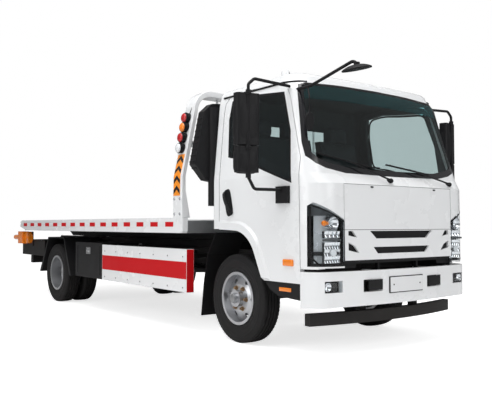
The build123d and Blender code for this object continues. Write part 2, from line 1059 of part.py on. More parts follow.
# Rear mudguards: a folded sheet over each pair of tyres, on a stay from the rail
fender_outside = [
    (wheelbase - fender_reach_front, fender_bottom),
    (wheelbase - fender_reach_front_top, fender_top),
    (wheelbase + fender_reach_rear_top, fender_top),
    (wheelbase + fender_reach_rear, fender_bottom),
]
liner_outline = placed(liner_outline_share, liner_front, liner_rear, liner_bottom, liner_top)
stay_y = (liner_outline[1][0] + liner_outline[2][0]) / 2 + liner_thickness / 2
stay_z = (liner_outline[1][1] + liner_outline[2][1]) / 2
with BuildPart() as mudguards:
    for side_name, side in sides:
        across(fender_outside, side * fender_inner, side * fender_outer)
        smaller = moved_outwards(fender_outside, -fender_thickness)
        lowered = [(y, z if z > fender_bottom + overrun / 2 else fender_bottom - overrun / 4) for y, z in smaller]
        across(lowered, side * (fender_inner - overrun), side * (fender_outer + overrun), mode=Mode.SUBTRACT)
        stay_top = fender_top - fender_thickness
        along(
            [
                (side * rail_outer, rail_bottom + rail_width),
                (side * (rail_outer + moving_gap + tilt_lift), rail_bottom + rail_width),
                (side * (rail_outer + moving_gap + tilt_lift + fender_thickness), stay_top - fender_stay / 2),
                (side * fender_stay_reach, stay_top - fender_stay / 4),
                (side * fender_stay_reach, stay_top),
                (side * (rail_outer + moving_gap), stay_top),
                (side * (rail_outer + moving_gap), rail_top),
                (side * rail_outer, rail_top),
            ],
            wheelbase - fender_stay / 2,
            wheelbase + fender_stay / 2,
        )
    for side_name, side in sides:
        outer_sheet = [(a, b) for a, b in liner_outline]
        inner_sheet = [(a + liner_thickness, b) for a, b in reversed(liner_outline)]
        across(outer_sheet + inner_sheet, side * liner_inner, side * liner_outer)
        block(
            side * rail_outer,
            side * liner_inner,
            stay_y,
            stay_y + liner_stay,
            stay_z - liner_stay / 2,
            stay_z + liner_stay / 2,
        )
keep(mudguards, "mudguards")

# Tail frame: a beam across the rail ends, a guard bar hung under it and a deep plate each side
with BuildPart() as tail_beam:
    block(-tail_outer, tail_outer, rail_rear, tail_rear, tail_bottom, tail_top)
    block(
        -underrun_half,
        underrun_half,
        rail_rear - underrun_depth,
        rail_rear,
        underrun_top - underrun_height,
        underrun_top,
    )
    for side_name, side in sides:
        block(
            side * rail_inner,
            side * rail_outer,
            rail_rear - underrun_depth,
            rail_rear,
            underrun_top,
            rail_bottom,
        )
        block(
            side * rail_inner,
            side * rail_outer,
            rail_rear - underrun_arm / 2,
            tail_rear,
            underrun_top,
            rail_bottom,
        )
keep(tail_beam, "tail_beam")

box_lamp_front = tail_lamp_front + 2 * round_lamp_radius + seam
lamp_middle = (box_lamp_bottom + box_lamp_top) / 2
box_lamp_rear = box_lamp_front + box_lamp_length
lamp_base = tail_outer + lamp_bracket
with BuildPart() as tail_plates:
    for side_name, side in sides:
        block(
            side * (tail_outer - tail_plate),
            side * tail_outer,
            tail_front,
            rail_rear,
            tail_bottom,
            tail_top,
        )
        block(
            side * tail_outer,
            side * lamp_base,
            tail_lamp_front,
            box_lamp_rear,
            tail_top - round_lamp_radius,
            lamp_middle + round_lamp_radius,
        )
keep(tail_plates, "tail_side_plates")

# Rear lamps on each side plate: a round lamp, then a square lamp with a small end lamp
with BuildPart() as rear_lamps:
    for side_name, side in sides:
        cross_rod(
            side * (lamp_base + seat_gap),
            side * (lamp_base + round_lamp_depth),
            tail_lamp_front + round_lamp_radius,
            lamp_middle,
            round_lamp_radius,
        )
        block(
            side * (lamp_base + seat_gap),
            side * (lamp_base + box_lamp_width),
            box_lamp_front,
            box_lamp_rear,
            box_lamp_bottom,
            box_lamp_top,
        )
        rod_between(
            (side * (lamp_base + box_lamp_width / 2), box_lamp_rear, lamp_middle),
            (side * (lamp_base + box_lamp_width / 2), rear_reach, lamp_middle),
            end_lamp_radius,
        )
keep(rear_lamps, "rear_lamps")

# Front bumper: a curved wall with its lamp, hook and plate places cut in, on two arms
def bumper_face(inset, z):
    """The bumper's outline seen from above, drawn in from its outer face by the inset."""
    half = bumper_half - inset
    corner_x = bumper_corner_x - inset / 4
    corner_y = bumper_corner_y - inset
    with BuildSketch(level_plane(z)) as sketch:
        with BuildLine():
            Line((half, -bumper_side_end), (-half, -bumper_side_end))
            TangentArc((-half, -bumper_side_end), (-corner_x, -corner_y), tangent=(0, -1))
            ThreePointArc((-corner_x, -corner_y), (0, -bumper_nose + inset), (corner_x, -corner_y))
            TangentArc((half, -bumper_side_end), (corner_x, -corner_y), tangent=(0, -1))
        make_face()
    return sketch.sketch


def front_pocket(x, z, width, height, depth, mode=Mode.SUBTRACT):
    """A box cut straight back from ahead of the nose, centred at (x, z)."""
    block(
        x - width / 2,
        x + width / 2,
        -bumper_nose - overrun,
        -bumper_nose + depth,
        z - height / 2,
        z + height / 2,
        mode,
    )


bumper_height = bumper_top - bumper_bottom
hook_depth = bumper_nose - bumper_side_end
with BuildPart() as bumper:
    extrude(bumper_face(0, bumper_bottom), amount=bumper_height, dir=(0, 0, 1))
    extrude(bumper_face(bumper_wall, bumper_bottom), amount=bumper_height, dir=(0, 0, 1), mode=Mode.SUBTRACT)
    for side_name, side in sides:
        front_pocket(side * hook_x, hook_middle, hook_width, hook_height, hook_depth)
        front_pocket(side * fog_x, fog_middle, fog_width, fog_height, hook_depth)
        block(
            side * rail_inner,
            side * (rail_inner + bumper_arm_width),
            rail_front,
            -bumper_nose + bumper_wall + seat_gap,
            rail_bottom,
            bumper_top,
        )
keep(bumper, "front_bumper")

with BuildPart() as fog_lamps:
    extrude(bumper_face(bumper_wall / 4, fog_middle - fog_height / 2), amount=fog_height, dir=(0, 0, 1))
    extrude(
        bumper_face(bumper_wall, fog_middle - fog_height / 2),
        amount=fog_height,
        dir=(0, 0, 1),
        mode=Mode.SUBTRACT,
    )
    half = fog_width / 2 - seat_gap
    for side_name, side in sides:
        block(
            -fog_x + half,
            fog_x - half,
            -bumper_nose - overrun,
            overrun,
            bumper_bottom,
            bumper_top,
            mode=Mode.SUBTRACT,
        )
        block(
            side * (fog_x + half),
            side * (fog_x + overrun),
            -bumper_nose - overrun,
            overrun,
            bumper_bottom,
            bumper_top,
            mode=Mode.SUBTRACT,
        )
keep(fog_lamps, "fog_lamps")

# Front under-run beam: a curved bar under the bumper on two arms from the rails
def beam_face(inset):
    with BuildSketch(level_plane(beam_bottom)) as sketch:
        with BuildLine():
            Polyline((beam_half, -beam_end + inset), (beam_half, -beam_end + beam_depth + inset))
            ThreePointArc(
                (beam_half, -beam_end + beam_depth + inset),
                (0, -beam_nose + beam_depth + inset),
                (-beam_half, -beam_end + beam_depth + inset),
            )
            Polyline((-beam_half, -beam_end + beam_depth + inset), (-beam_half, -beam_end + inset))
            ThreePointArc(
                (-beam_half, -beam_end + inset),
                (0, -beam_nose + inset),
                (beam_half, -beam_end + inset),
            )
        make_face()
    return sketch.sketch


with BuildPart() as underrun_beam:
    extrude(beam_face(0), amount=beam_top - beam_bottom, dir=(0, 0, 1))
    for side_name, side in sides:
        block(
            side * rail_inner,
            side * (rail_inner + beam_arm_width),
            rail_front,
            rail_front + beam_arm_width,
            beam_bottom + beam_depth,
            rail_bottom,
        )
keep(underrun_beam, "front_underrun_beam")

# Cab shell: level sections from sill to roof, each a back with rounded corners, straight
# sides, and a shallow arc across the front that runs smoothly into round front corners
cab_sections = [  # (height, half width, end of the straight side, corner radius, nose), all but the height as shares
    (cab_bottom, 1.0, 0.787, 0.235, 1.0),
    (panel_top, 1.0, 0.787, 0.225, 0.995),
    (cab_cowl, 1.0, 0.787, 0.14, 0.9365),
    (cab_header, 0.934, 0.642, 0.09, 0.747),
    (cab_top - roof_round_height, 0.915, 0.525, 0.20, 0.722),
]


def cab_section(height, row, inset):
    """A level section: the front arc's radius is the one that meets both corner arcs without a kink."""
    _, half_share, side_share, corner_share, nose_share = row
    half = cab_half * half_share - inset
    side_end = -cab_nose * side_share
    corner_radius = cab_half * corner_share - inset
    nose = -cab_nose * nose_share + inset
    back = cab_rear - inset
    radius = back_corner_radius
    corner_x = half - corner_radius
    corner_lead = side_end - nose
    bow_radius = (corner_x**2 + corner_lead**2 - corner_radius**2) / (2 * (corner_lead - corner_radius))
    reach = bow_radius / (bow_radius - corner_radius)
    meet_x = corner_x * reach
    meet_y = nose + bow_radius + (corner_lead - bow_radius) * reach
    with BuildSketch(level_plane(height)) as sketch:
        with BuildLine():
            Line((-half + radius, back), (half - radius, back))
            TangentArc((half - radius, back), (half, back - radius), tangent=(1, 0))
            Line((half, back - radius), (half, side_end))
            TangentArc((half, side_end), (meet_x, meet_y), tangent=(0, -1))
            ThreePointArc((meet_x, meet_y), (0, nose), (-meet_x, meet_y))
            TangentArc((-half, side_end), (-meet_x, meet_y), tangent=(0, -1))
            Line((-half, side_end), (-half, back - radius))
            TangentArc((-half + radius, back), (-half, back - radius), tangent=(-1, 0))
        make_face()
    return sketch.sketch


def cab_envelope(inset):
    """The solid inside the cab's outer face, or inside a face set in from it all round."""
    shoulder = cab_top - roof_round_height
    with BuildPart() as envelope:
        rows = [cab_section(row[0], row, inset) for row in cab_sections]
        for step in range(1, roof_steps + 1):
            angle = radians(90 * step / roof_steps)
            rows.append(
                cab_section(
                    shoulder + (roof_round_height - inset) * sin(angle),
                    cab_sections[-1],
                    inset + roof_round_width * (1 - cos(angle)),
                )
            )
        loft(rows, ruled=True)
        extrude(cab_section(cab_bottom, cab_sections[0], inset), amount=overrun, dir=(0, 0, -1))
    return envelope.part


def cab_layer(outer_inset, inner_inset):
    with BuildPart() as layer:
        add(cab_envelope(outer_inset))
        add(cab_envelope(inner_inset), mode=Mode.SUBTRACT)
        block(-cab_half, cab_half, -cab_nose, cab_rear, -overrun, cab_bottom, mode=Mode.SUBTRACT)
    return layer.part


full_wall = cab_layer(0, cab_wall)
outer_skin = cab_layer(0, cab_skin - seat_gap)
inner_wall = cab_layer(cab_skin, cab_wall)
glass_layer = cab_layer(glass_inset, glass_inset + glass_thickness)
cab_inside = cab_envelope(cab_wall + seat_gap)

# Outlines of the door, its window and the wheel arch, seen from the side, as shares of the
# door's length and height
door_outline_share = [
    (0.0, 0.0),
    (0.013, 0.60),
    (0.157, 0.908),
    (0.21, 0.972),
    (0.28, 0.985),
    (0.717, 1.0),
    (0.93, 0.992),
    (0.985, 0.955),
    (1.0, 0.90),
    (1.0, 0.0),
]
window_outline_share = [
    (0.899, 0.6485),
    (0.713, 0.625),
    (0.424, 0.5556),
    (0.0878, 0.4805),
    (0.1277, 0.7408),
    (0.2314, 0.9438),
    (0.7172, 0.9757),
    (0.898, 0.9633),
    (0.9264, 0.8592),
]
arch_outline_share = [
    (0.408, 0.0),
    (0.588, 0.245),
    (1.3, 0.262),
    (1.3, 0.0),
]
door_rear = door_front + door_length
door_top = cab_bottom + door_height
door_outline = placed(door_outline_share, door_front, door_rear, cab_bottom, door_top)
window_outline = placed(window_outline_share, door_front, door_rear, cab_bottom, door_top)
arch_outline = placed(arch_outline_share, door_front, door_rear, cab_bottom, door_top)


def arch_cut(grown, x0, x1, mode=Mode.SUBTRACT):
    """Cuts the round-cornered wheel arch, grown outwards by a distance, out of a side wall."""
    with BuildSketch(side_plane(min(x0, x1))) as sketch:
        with BuildLine():
            Polyline(*arch_outline, close=True)
        make_face()
        fillet(sketch.vertices().sort_by(Axis.X)[1], radius=arch_radius)
        if grown > 0:
            offset(amount=grown, kind=Kind.INTERSECTION)
    extrude(sketch.sketch, amount=abs(x1 - x0), dir=(1, 0, 0), mode=mode)


def flare_lip(side):
    """A raised lip round the wheel arch: a band that slopes up from the door's face to the arch."""
    plane = Plane(origin=(side * cab_half, front_axle_y, 0), x_dir=(0, side, 0), z_dir=(side, 0, 0))
    with BuildSketch(plane) as sketch:
        with BuildLine():
            Polyline(*[(side * y, z) for y, z in arch_outline], close=True)
        make_face()
        fillet(sketch.vertices().sort_by(Axis.X)[1 if side > 0 else -2], radius=arch_radius)
        offset(amount=flare_width, kind=Kind.INTERSECTION)
        with BuildLine():
            Polyline(*[(side * y, z) for y, z in moved_outwards(door_outline, -seam)], close=True)
        make_face(mode=Mode.INTERSECT)
    extrude(sketch.sketch, amount=flare_height, taper=flare_slope)


def clear_door_swing(bottom, top):
    """Makes room beside each door's hinge line for the inner corner of the door's front edge."""
    swing_radius = hypot(cab_wall, door_hinge_y - door_front) + moving_gap
    for side_name, side in sides:
        upright_rod(side * cab_half, door_hinge_y, bottom, top, swing_radius, mode=Mode.SUBTRACT)


# Outlines seen from ahead, as shares of the cab's half width and of the cab's height
windshield_half_share = [
    (0.0, 0.6236),
    (0.60, 0.6271),
    (0.80, 0.6414),
    (0.90, 0.6576),
    (0.957, 0.6819),
    (0.957, 0.7307),
    (0.907, 0.9255),
    (0.885, 0.9427),
    (0.82, 0.9524),
    (0.45, 0.9595),
    (0.0, 0.961),
]


def front_outline(half_share, side=None):
    half = [(a * cab_half, b * cab_top) for a, b in half_share]
    if side is None:
        return half + [(-x, z) for x, z in reversed(half[1:-1])]
    return [(side * x, z) for x, z in half]


windshield_outline = front_outline(windshield_half_share)
lamp_outline = [
    (lamp_inner_x, lamp_bottom),
    (lamp_outer_x, lamp_bottom),
    (lamp_outer_x, lamp_outer_top - lamp_round),
    (lamp_outer_x - lamp_round, lamp_outer_top),
    (lamp_inner_x, lamp_inner_top),
]
ahead = -cab_nose - overrun
cab_middle = -cab_nose / 2


def cut_windshield(mode=Mode.SUBTRACT, grown=0):
    outline = moved_outwards(windshield_outline, grown) if grown else windshield_outline
    along(outline, ahead, cab_middle, mode)


def cut_door(side):
    grown = moved_outwards(door_outline, door_gap)
    across(grown, side * cab_half / 2, side * (cab_half + overrun), mode=Mode.SUBTRACT)


def cut_lamp(side, grown, mode=Mode.SUBTRACT):
    outline = [(side * x, z) for x, z in lamp_outline]
    along(moved_outwards(outline, grown), ahead, lamp_rear + grown, mode)


def within(x0, x1, y0, y1, z0, z1):
    block(x0, x1, y0, y1, z0, z1, mode=Mode.INTERSECT)


wide = cab_half + overrun
with BuildPart() as roof:
    add(full_wall)
    within(-wide, wide, ahead, cab_rear + overrun, roof_seam, cab_top + overrun)
    cut_windshield()
    for side_name, side in sides:
        cut_door(side)
    upright_rod(-beacon_x, beacon_y, cab_top - cab_skin, cab_top + beacon_height, beacon_radius)
    fillet(roof.edges().filter_by(GeomType.CIRCLE).sort_by(Axis.Z)[-1], radius=beacon_radius * beacon_round_share)
keep(roof, "cab_roof")

with BuildPart() as back_wall:
    add(full_wall)
    within(-wide, wide, 0, cab_rear + overrun, cab_back_bottom, roof_seam)
    for side_name, side in sides:
        cut_door(side)
    with BuildSketch(cross_plane(cab_rear + overrun)) as rear_opening:
        with Locations((0, rear_window_middle)):
            RectangleRounded(rear_window_width, rear_window_height, rear_window_round)
    extrude(rear_opening.sketch, amount=2 * overrun, dir=(0, -1, 0), mode=Mode.SUBTRACT)
keep(back_wall, "cab_back_wall")

with BuildPart() as rear_window:
    add(glass_layer)
    with BuildSketch(cross_plane(cab_rear + overrun)) as rear_pane:
        with Locations((0, rear_window_middle)):
            RectangleRounded(
                rear_window_width - 2 * seat_gap,
                rear_window_height - 2 * seat_gap,
                rear_window_round - seat_gap,
            )
    extrude(rear_pane.sketch, amount=overrun + cab_rear, dir=(0, -1, 0), mode=Mode.INTERSECT)

with BuildPart() as cab_glass:
    add(glass_layer)
    cut_windshield(Mode.INTERSECT, -seat_gap)
    add(rear_window.part)
keep(cab_glass, "cab_glass")

# Front frame: both corners with their pillars, joined under the glass by the cowl
with BuildPart() as front_frame:
    add(full_wall)
    within(-wide, wide, ahead, cab_middle, cab_front_bottom, roof_seam)
    block(-panel_seam_x, panel_seam_x, ahead, 0, cab_front_bottom - overrun, panel_top, mode=Mode.SUBTRACT)
    cut_windshield()
    for side_name, side in sides:
        cut_door(side)
        cut_lamp(side, lamp_gap)
    block(-wide, wide, ahead, frame_relief_y, cab_front_bottom, frame_relief_top, mode=Mode.SUBTRACT)
keep(front_frame, "cab_front_frame")

with BuildPart() as headlamps:
    for side_name, side in sides:
        cut_lamp(side, 0, Mode.ADD)
    add(full_wall, mode=Mode.INTERSECT)
keep(headlamps, "headlamps")

with BuildPart() as front_panel:
    add(outer_skin)
    within(-panel_half, panel_half, ahead, cab_middle, panel_bottom + seam, panel_top - seam)
    for side_name, side in sides:
        cut_lamp(side, lamp_gap)

# Grille: a skin with two long slots and a corner slot at each end of both
grille_slots_share = [  # (half width at top, half width at bottom, top, bottom) of the grille's box
    (0.587, 0.476, 0.965, 0.708),
    (0.527, 0.4545, 0.422, 0.20),
]
corner_slots_share = [  # three corners of each, on both sides
    [(0.945, 0.967), (0.87, 0.967), (0.805, 0.75), (0.945, 0.82)],
    [(0.945, 0.59), (0.84, 0.47), (0.768, 0.236), (0.945, 0.33)],
]
grille_half = lamp_inner_x - seam
with BuildPart() as grille:
    add(outer_skin)
    within(-grille_half, grille_half, ahead, cab_middle, grille_bottom, panel_bottom)
    for top_share, low_share, high, low in grille_slots_share:
        z_high = spread(high, grille_bottom, panel_bottom)
        z_low = spread(low, grille_bottom, panel_bottom)
        along(
            [
                (-top_share * grille_half, z_high),
                (top_share * grille_half, z_high),
                (low_share * grille_half, z_low),
                (-low_share * grille_half, z_low),
            ],
            ahead,
            cab_middle,
            mode=Mode.SUBTRACT,
        )
    for slot in corner_slots_share:
        for side_name, side in sides:
            outline = [
                (side * a * grille_half, spread(b, grille_bottom, panel_bottom)) for a, b in slot
            ]
            along(outline, ahead, cab_middle, mode=Mode.SUBTRACT)

with BuildPart() as front_skin:
    add(front_panel.part)
    add(grille.part)
keep(front_skin, "front_panel_and_grille")

# Floor pan: the bulkhead behind the panel, the low foot floor and the raised rear floor,
# with two lugs at the front for the tilt pivot
floor_half = cab_half - cab_wall - moving_gap
with BuildPart() as floor_pan:
    add(inner_wall)
    within(-panel_seam_x, panel_seam_x, ahead, cab_middle, cab_front_bottom, panel_top)
    for side_name, side in sides:
        cut_lamp(side, seat_gap)
with BuildPart() as cab_floor:
    across(
        [
            (-cab_nose, floor_front_level),
            (floor_step_y, floor_front_level),
            (floor_step_y + floor_step_run, floor_rear_level),
            (cab_rear, floor_rear_level),
            (cab_rear, floor_rear_level + floor_thickness),
            (floor_step_y + floor_step_run - floor_thickness, floor_rear_level + floor_thickness),
            (floor_step_y - floor_thickness, floor_front_level + floor_thickness),
            (-cab_nose, floor_front_level + floor_thickness),
        ],
        -floor_half,
        floor_half,
    )
    add(cab_inside, mode=Mode.INTERSECT)
    add(floor_pan.part)
    for side_name, side in sides:
        lug_x = side * cab_pivot_x
        block(
            lug_x - cab_lug / 2,
            lug_x + cab_lug / 2,
            cab_pivot_y - cab_lug_round,
            cab_pivot_y + cab_lug_round,
            cab_pivot_height,
            floor_front_level + floor_thickness,
        )
        cross_rod(
            lug_x - cab_lug / 2,
            lug_x + cab_lug / 2,
            cab_pivot_y,
            cab_pivot_height,
            cab_lug_round,
        )
    cross_rod(-rail_outer, rail_outer, cab_pivot_y, cab_pivot_height, cab_pivot_radius + seat_gap, mode=Mode.SUBTRACT)
    block(
        -wide,
        wide,
        ahead,
        cab_pivot_y - moving_gap,
        cab_pivot_height + cab_lug_round,
        tilt_relief_top,
        mode=Mode.SUBTRACT,
    )
    clear_door_swing(cab_bottom, cab_top)
keep(cab_floor, "cab_floor")

# Cab mounts on the chassis: a pair of ears with a pin for each lug, and a rest behind the cab
with BuildPart() as cab_mounts:
    for side_name, side in sides:
        lug_x = side * cab_pivot_x
        for hand in (-1, 1):
            near = lug_x + hand * (cab_lug / 2 + moving_gap)
            far = near + hand * cab_ear
            block(
                near,
                far,
                cab_pivot_y,
                rail_front,
                cab_pivot_height - cab_pivot_radius,
                cab_pivot_height + cab_pivot_radius,
            )
            cross_rod(near, far, cab_pivot_y, cab_pivot_height, cab_pivot_radius * 1.6)
        block(
            side * (cab_pivot_x - cab_lug / 2 - moving_gap - cab_ear),
            side * cross_half,
            rail_front,
            rail_front + cab_ear,
            cab_pivot_height - cab_pivot_radius,
            cab_pivot_height + cab_pivot_radius,
        )
        cross_rod(
            lug_x - cab_lug / 2 - moving_gap,
            lug_x + cab_lug / 2 + moving_gap,
            cab_pivot_y,
            cab_pivot_height,
            cab_pivot_radius,
        )
        block(
            side * rail_inner,
            side * rail_outer,
            rest_y,
            rest_y + rest_depth,
            rail_top,
            floor_rear_level - rest_height,
        )
    block(
        -rest_half,
        rest_half,
        rest_y,
        rest_y + rest_depth,
        floor_rear_level - rest_height,
        floor_rear_level - seat_gap,
    )
keep(cab_mounts, "cab_mounts")

# Steps under the doors, hung from the front edge of the floor
with BuildPart() as cab_steps:
    for side_name, side in sides:
        across(
            placed(step_outline_share, step_front, step_rear, step_bottom, cab_bottom - moving_gap),
            side * (cab_half - step_depth),
            side * (cab_half - step_inset),
        )
        block(
            side * (floor_half - step_hanger),
            side * floor_half,
            step_front + step_hanger,
            step_rear - step_hanger,
            cab_bottom - moving_gap,
            floor_front_level - seat_gap,
        )
    clear_door_swing(cab_bottom - moving_gap, cab_top)
keep(cab_steps, "cab_steps")

# Doors: the wall inside the door's outline, with its window cut and a raised lip over the arch
for side_name, side in sides:
    inside_x = side * cab_half / 2
    outside_x = side * (cab_half + overrun)
    with BuildPart() as door:
        add(full_wall)
        across(door_outline, inside_x, outside_x, mode=Mode.INTERSECT)
        across(window_outline, inside_x, outside_x, mode=Mode.SUBTRACT)
        flare_lip(side)
        arch_cut(0, inside_x, outside_x)
    keep(door, "door_" + side_name)

    with BuildPart() as door_glass:
        add(glass_layer)
        across(moved_outwards(window_outline, -seat_gap), inside_x, outside_x, mode=Mode.INTERSECT)
    keep(door_glass, "door_glass_" + side_name)

# Seats: a cushion on a low base, a leaning back and head rests, soft blocks on plain bases
def seat(x, width, rests):
    rear = seat_front + seat_depth
    block(
        x - width / 2 + seat_base_margin,
        x + width / 2 - seat_base_margin,
        seat_front + seat_base_margin,
        rear,
        floor_rear_level + floor_thickness + seat_gap,
        seat_bottom,
    )
    block(x - width / 2, x + width / 2, seat_front, rear, seat_bottom, seat_top)
    lean = back_lean_share * back_height
    across(
        [
            (rear - back_thickness, seat_top),
            (rear, seat_top),
            (rear + lean, seat_top + back_height),
            (rear + lean - back_thickness * 2 / 3, seat_top + back_height),
        ],
        x - width / 2,
        x + width / 2,
    )
    top = seat_top + back_height
    for place in rests:
        block(
            x + place - headrest_width / 2,
            x + place + headrest_width / 2,
            rear + lean - back_thickness * 2 / 3,
            rear + lean,
            top,
            top + headrest_height,
        )


with BuildPart() as seats:
    seat(seat_x, seat_width, [0])
    seat(-bench_x, bench_width, [-bench_width / 4, bench_width / 4])
keep(seats, "seats")

# Dashboard across the cab, seated against the corners, with a hood over the dials
dash_half = cab_half - cab_wall - moving_gap
with BuildPart() as dashboard:
    across(
        [
            (-cab_nose, dash_bottom),
            (dash_rear - dash_lip, dash_bottom),
            (dash_rear, dash_bottom + dash_lip),
            (dash_rear, dash_top - dash_lip),
            (dash_rear - dash_lip, dash_top),
            (-cab_nose, dash_top - dash_lip),
        ],
        -dash_half,
        dash_half,
    )
    add(cab_inside, mode=Mode.INTERSECT)
    clear_door_swing(dash_bottom - overrun, dash_top + overrun)
keep(dashboard, "dashboard")

# Steering wheel: a leaning ring with three spokes on a column from the dashboard
column_run = Vector(0, -cos(radians(steering_lean)), -sin(radians(steering_lean)))
wheel_centre = Vector(steering_x, front_axle_y + steering_y, steering_height)
with BuildPart() as steering_wheel:
    wheel_plane = Plane(origin=wheel_centre, x_dir=(1, 0, 0), z_dir=-column_run)
    with BuildSketch(Plane(origin=wheel_centre, x_dir=(1, 0, 0), z_dir=wheel_plane.y_dir)) as ring:
        with Locations((steering_radius, 0)):
            Circle(steering_ring)
    revolve(ring.sketch, axis=Axis(wheel_centre, -column_run))
    with BuildSketch(wheel_plane) as spokes:
        Circle(steering_ring * 3)
        for angle in spoke_angles:
            with Locations(Location((0, 0), angle)):
                with Locations((steering_radius / 2, 0)):
                    Rectangle(steering_radius, steering_ring * 2)
    extrude(spokes.sketch, amount=steering_ring / 2, both=True)
    column_length = (steering_height - dash_bottom - dash_lip / 2) / sin(radians(steering_lean))
    with BuildSketch(Plane(origin=wheel_centre, z_dir=column_run)) as column:
        Circle(steering_ring * 2)
    extrude(column.sketch, amount=column_length, dir=column_run)
    block(
        -cab_half,
        cab_half,
        -cab_nose,
        dash_rear + seat_gap,
        dash_bottom,
        dash_top + seat_gap,
        mode=Mode.SUBTRACT,
    )
keep(steering_wheel, "steering_wheel")


# Door mirrors: a bent arm from the door's top and one from its middle, with two heads
def arm(points, radius, round_radius):
    """A round bar along straight runs joined by arcs, through (across, along, up) places."""
    places = [Vector(x, front_axle_y + y, z) for x, y, z in points]
    with BuildLine() as path:
        FilletPolyline(*places, radius=round_radius)
    route = path.wire()
    with BuildSketch(Plane(origin=route.position_at(0), z_dir=route.tangent_at(0))) as section:
        Circle(radius)
    sweep(section.sketch, path=route)


for side_name, side in sides:
    with BuildPart() as mirror:
        arm(
            [
                (side * upper_foot_x, mirror_foot_y, upper_foot_z),
                (side * (mirror_x - mirror_arm_bend), mirror_pole_y, upper_foot_z + mirror_arm_rise),
                (side * mirror_x, mirror_pole_y, mirror_high),
                (side * mirror_x, mirror_pole_y, mirror_low),
                (side * (mirror_x - mirror_arm_bend), mirror_pole_y, lower_foot_z),
                (side * cab_half, mirror_foot_y, lower_foot_z),
            ],
            mirror_arm_radius,
            mirror_arm_round,
        )
        for low, high, width in mirror_heads:
            with BuildSketch(level_plane(low)) as head:
                with Locations(Location((side * (mirror_x - mirror_offset), mirror_pole_y), side * mirror_turn)):
                    with Locations((0, mirror_depth / 2)):
                        RectangleRounded(width, mirror_depth, mirror_depth / 3)
            extrude(head.sketch, amount=high - low, dir=(0, 0, 1))
        block(
            side * cab_half,
            side * (cab_half + mirror_foot_depth),
            mirror_foot_y - mirror_foot_length / 2,
            mirror_foot_y + mirror_foot_length / 2,
            lower_foot_z - mirror_foot_height,
            lower_foot_z + mirror_foot_depth,
        )
        add(cab_envelope(-seat_gap), mode=Mode.SUBTRACT)
    keep(mirror, "door_mirror_" + side_name)

# Look-down mirrors: a leaning dome on a bent arm ahead of the roof's right corner, and an oval
# one that hangs from the arm's foot beside the windshield
dome_y = -front_reach + dome_radius
dome_up = (-sin(radians(dome_lean)), 0, cos(radians(dome_lean)))
dome_across = (cos(radians(dome_lean)), 0, sin(radians(dome_lean)))
dome_middle = (-dome_x, front_axle_y + dome_y, dome_level)
with BuildPart() as look_down_mirrors:
    with BuildSketch(Plane(origin=dome_middle, x_dir=dome_across, z_dir=(0, -1, 0))) as bowl:
        with BuildLine():
            Line((0, 0), (dome_radius, 0))
            Line((dome_radius, 0), (dome_radius, dome_height / 4))
            ThreePointArc(
                (dome_radius, dome_height / 4),
                (dome_radius * 0.6, dome_height * 0.8),
                (0, dome_height),
            )
            Line((0, dome_height), (0, 0))
        make_face()
    revolve(bowl.sketch, axis=Axis(dome_middle, dome_up))
    upright_rod(
        -dome_x,
        dome_y,
        dome_level + dome_height / 2,
        dome_level + dome_height + dome_boss_height,
        dome_boss_radius,
    )
    arm(
        [
            (-dome_x, dome_y, dome_level + dome_height / 2),
            (-dome_x, dome_y, dome_level + dome_height + dome_arm_rise),
            (-dome_arm_x, dome_arm_y, dome_arm_z),
            (-dome_arm_x, dome_foot_y, dome_arm_z),
        ],
        mirror_arm_radius,
        mirror_arm_round,
    )
    arm(
        [
            (-dome_arm_x, corner_rod_y, dome_arm_z),
            (-corner_mirror_x, corner_mirror_y, dome_arm_z - corner_rod_bend),
            (-corner_mirror_x, corner_mirror_y, corner_mirror_z),
        ],
        corner_rod_radius,
        corner_rod_round,
    )
    face_plane = Plane(
        origin=(-corner_mirror_x, front_axle_y + corner_mirror_y - corner_mirror_depth / 2, corner_mirror_z),
        x_dir=(1, 0, 0),
        z_dir=(0, -1, 0),
    )
    with BuildSketch(face_plane) as oval:
        Ellipse(corner_mirror_width / 2, corner_mirror_height / 2)
    extrude(oval.sketch, amount=-corner_mirror_depth)
    add(cab_envelope(-seat_gap), mode=Mode.SUBTRACT)
keep(look_down_mirrors, "front_mirror")

# Air intake behind the cab's right corner: a round duct against the cab and a deep hood behind it
intake_pipe_y = cab_rear + seat_gap + intake_pipe_radius
with BuildPart() as air_intake:
    along(
        [(-cab_half * a, spread(b, intake_low, intake_high)) for a, b in intake_outline_share],
        intake_pipe_y,
        intake_pipe_y + intake_depth,
    )
    upright_rod(-intake_pipe_x, intake_pipe_y, intake_pipe_low, intake_pipe_high, intake_pipe_radius)
    for level in intake_bracket_levels:
        block(
            -intake_pipe_x,
            -intake_bracket_x,
            cab_rear + seat_gap,
            intake_pipe_y,
            level,
            level + intake_bracket_height,
        )
keep(air_intake, "air_intake")

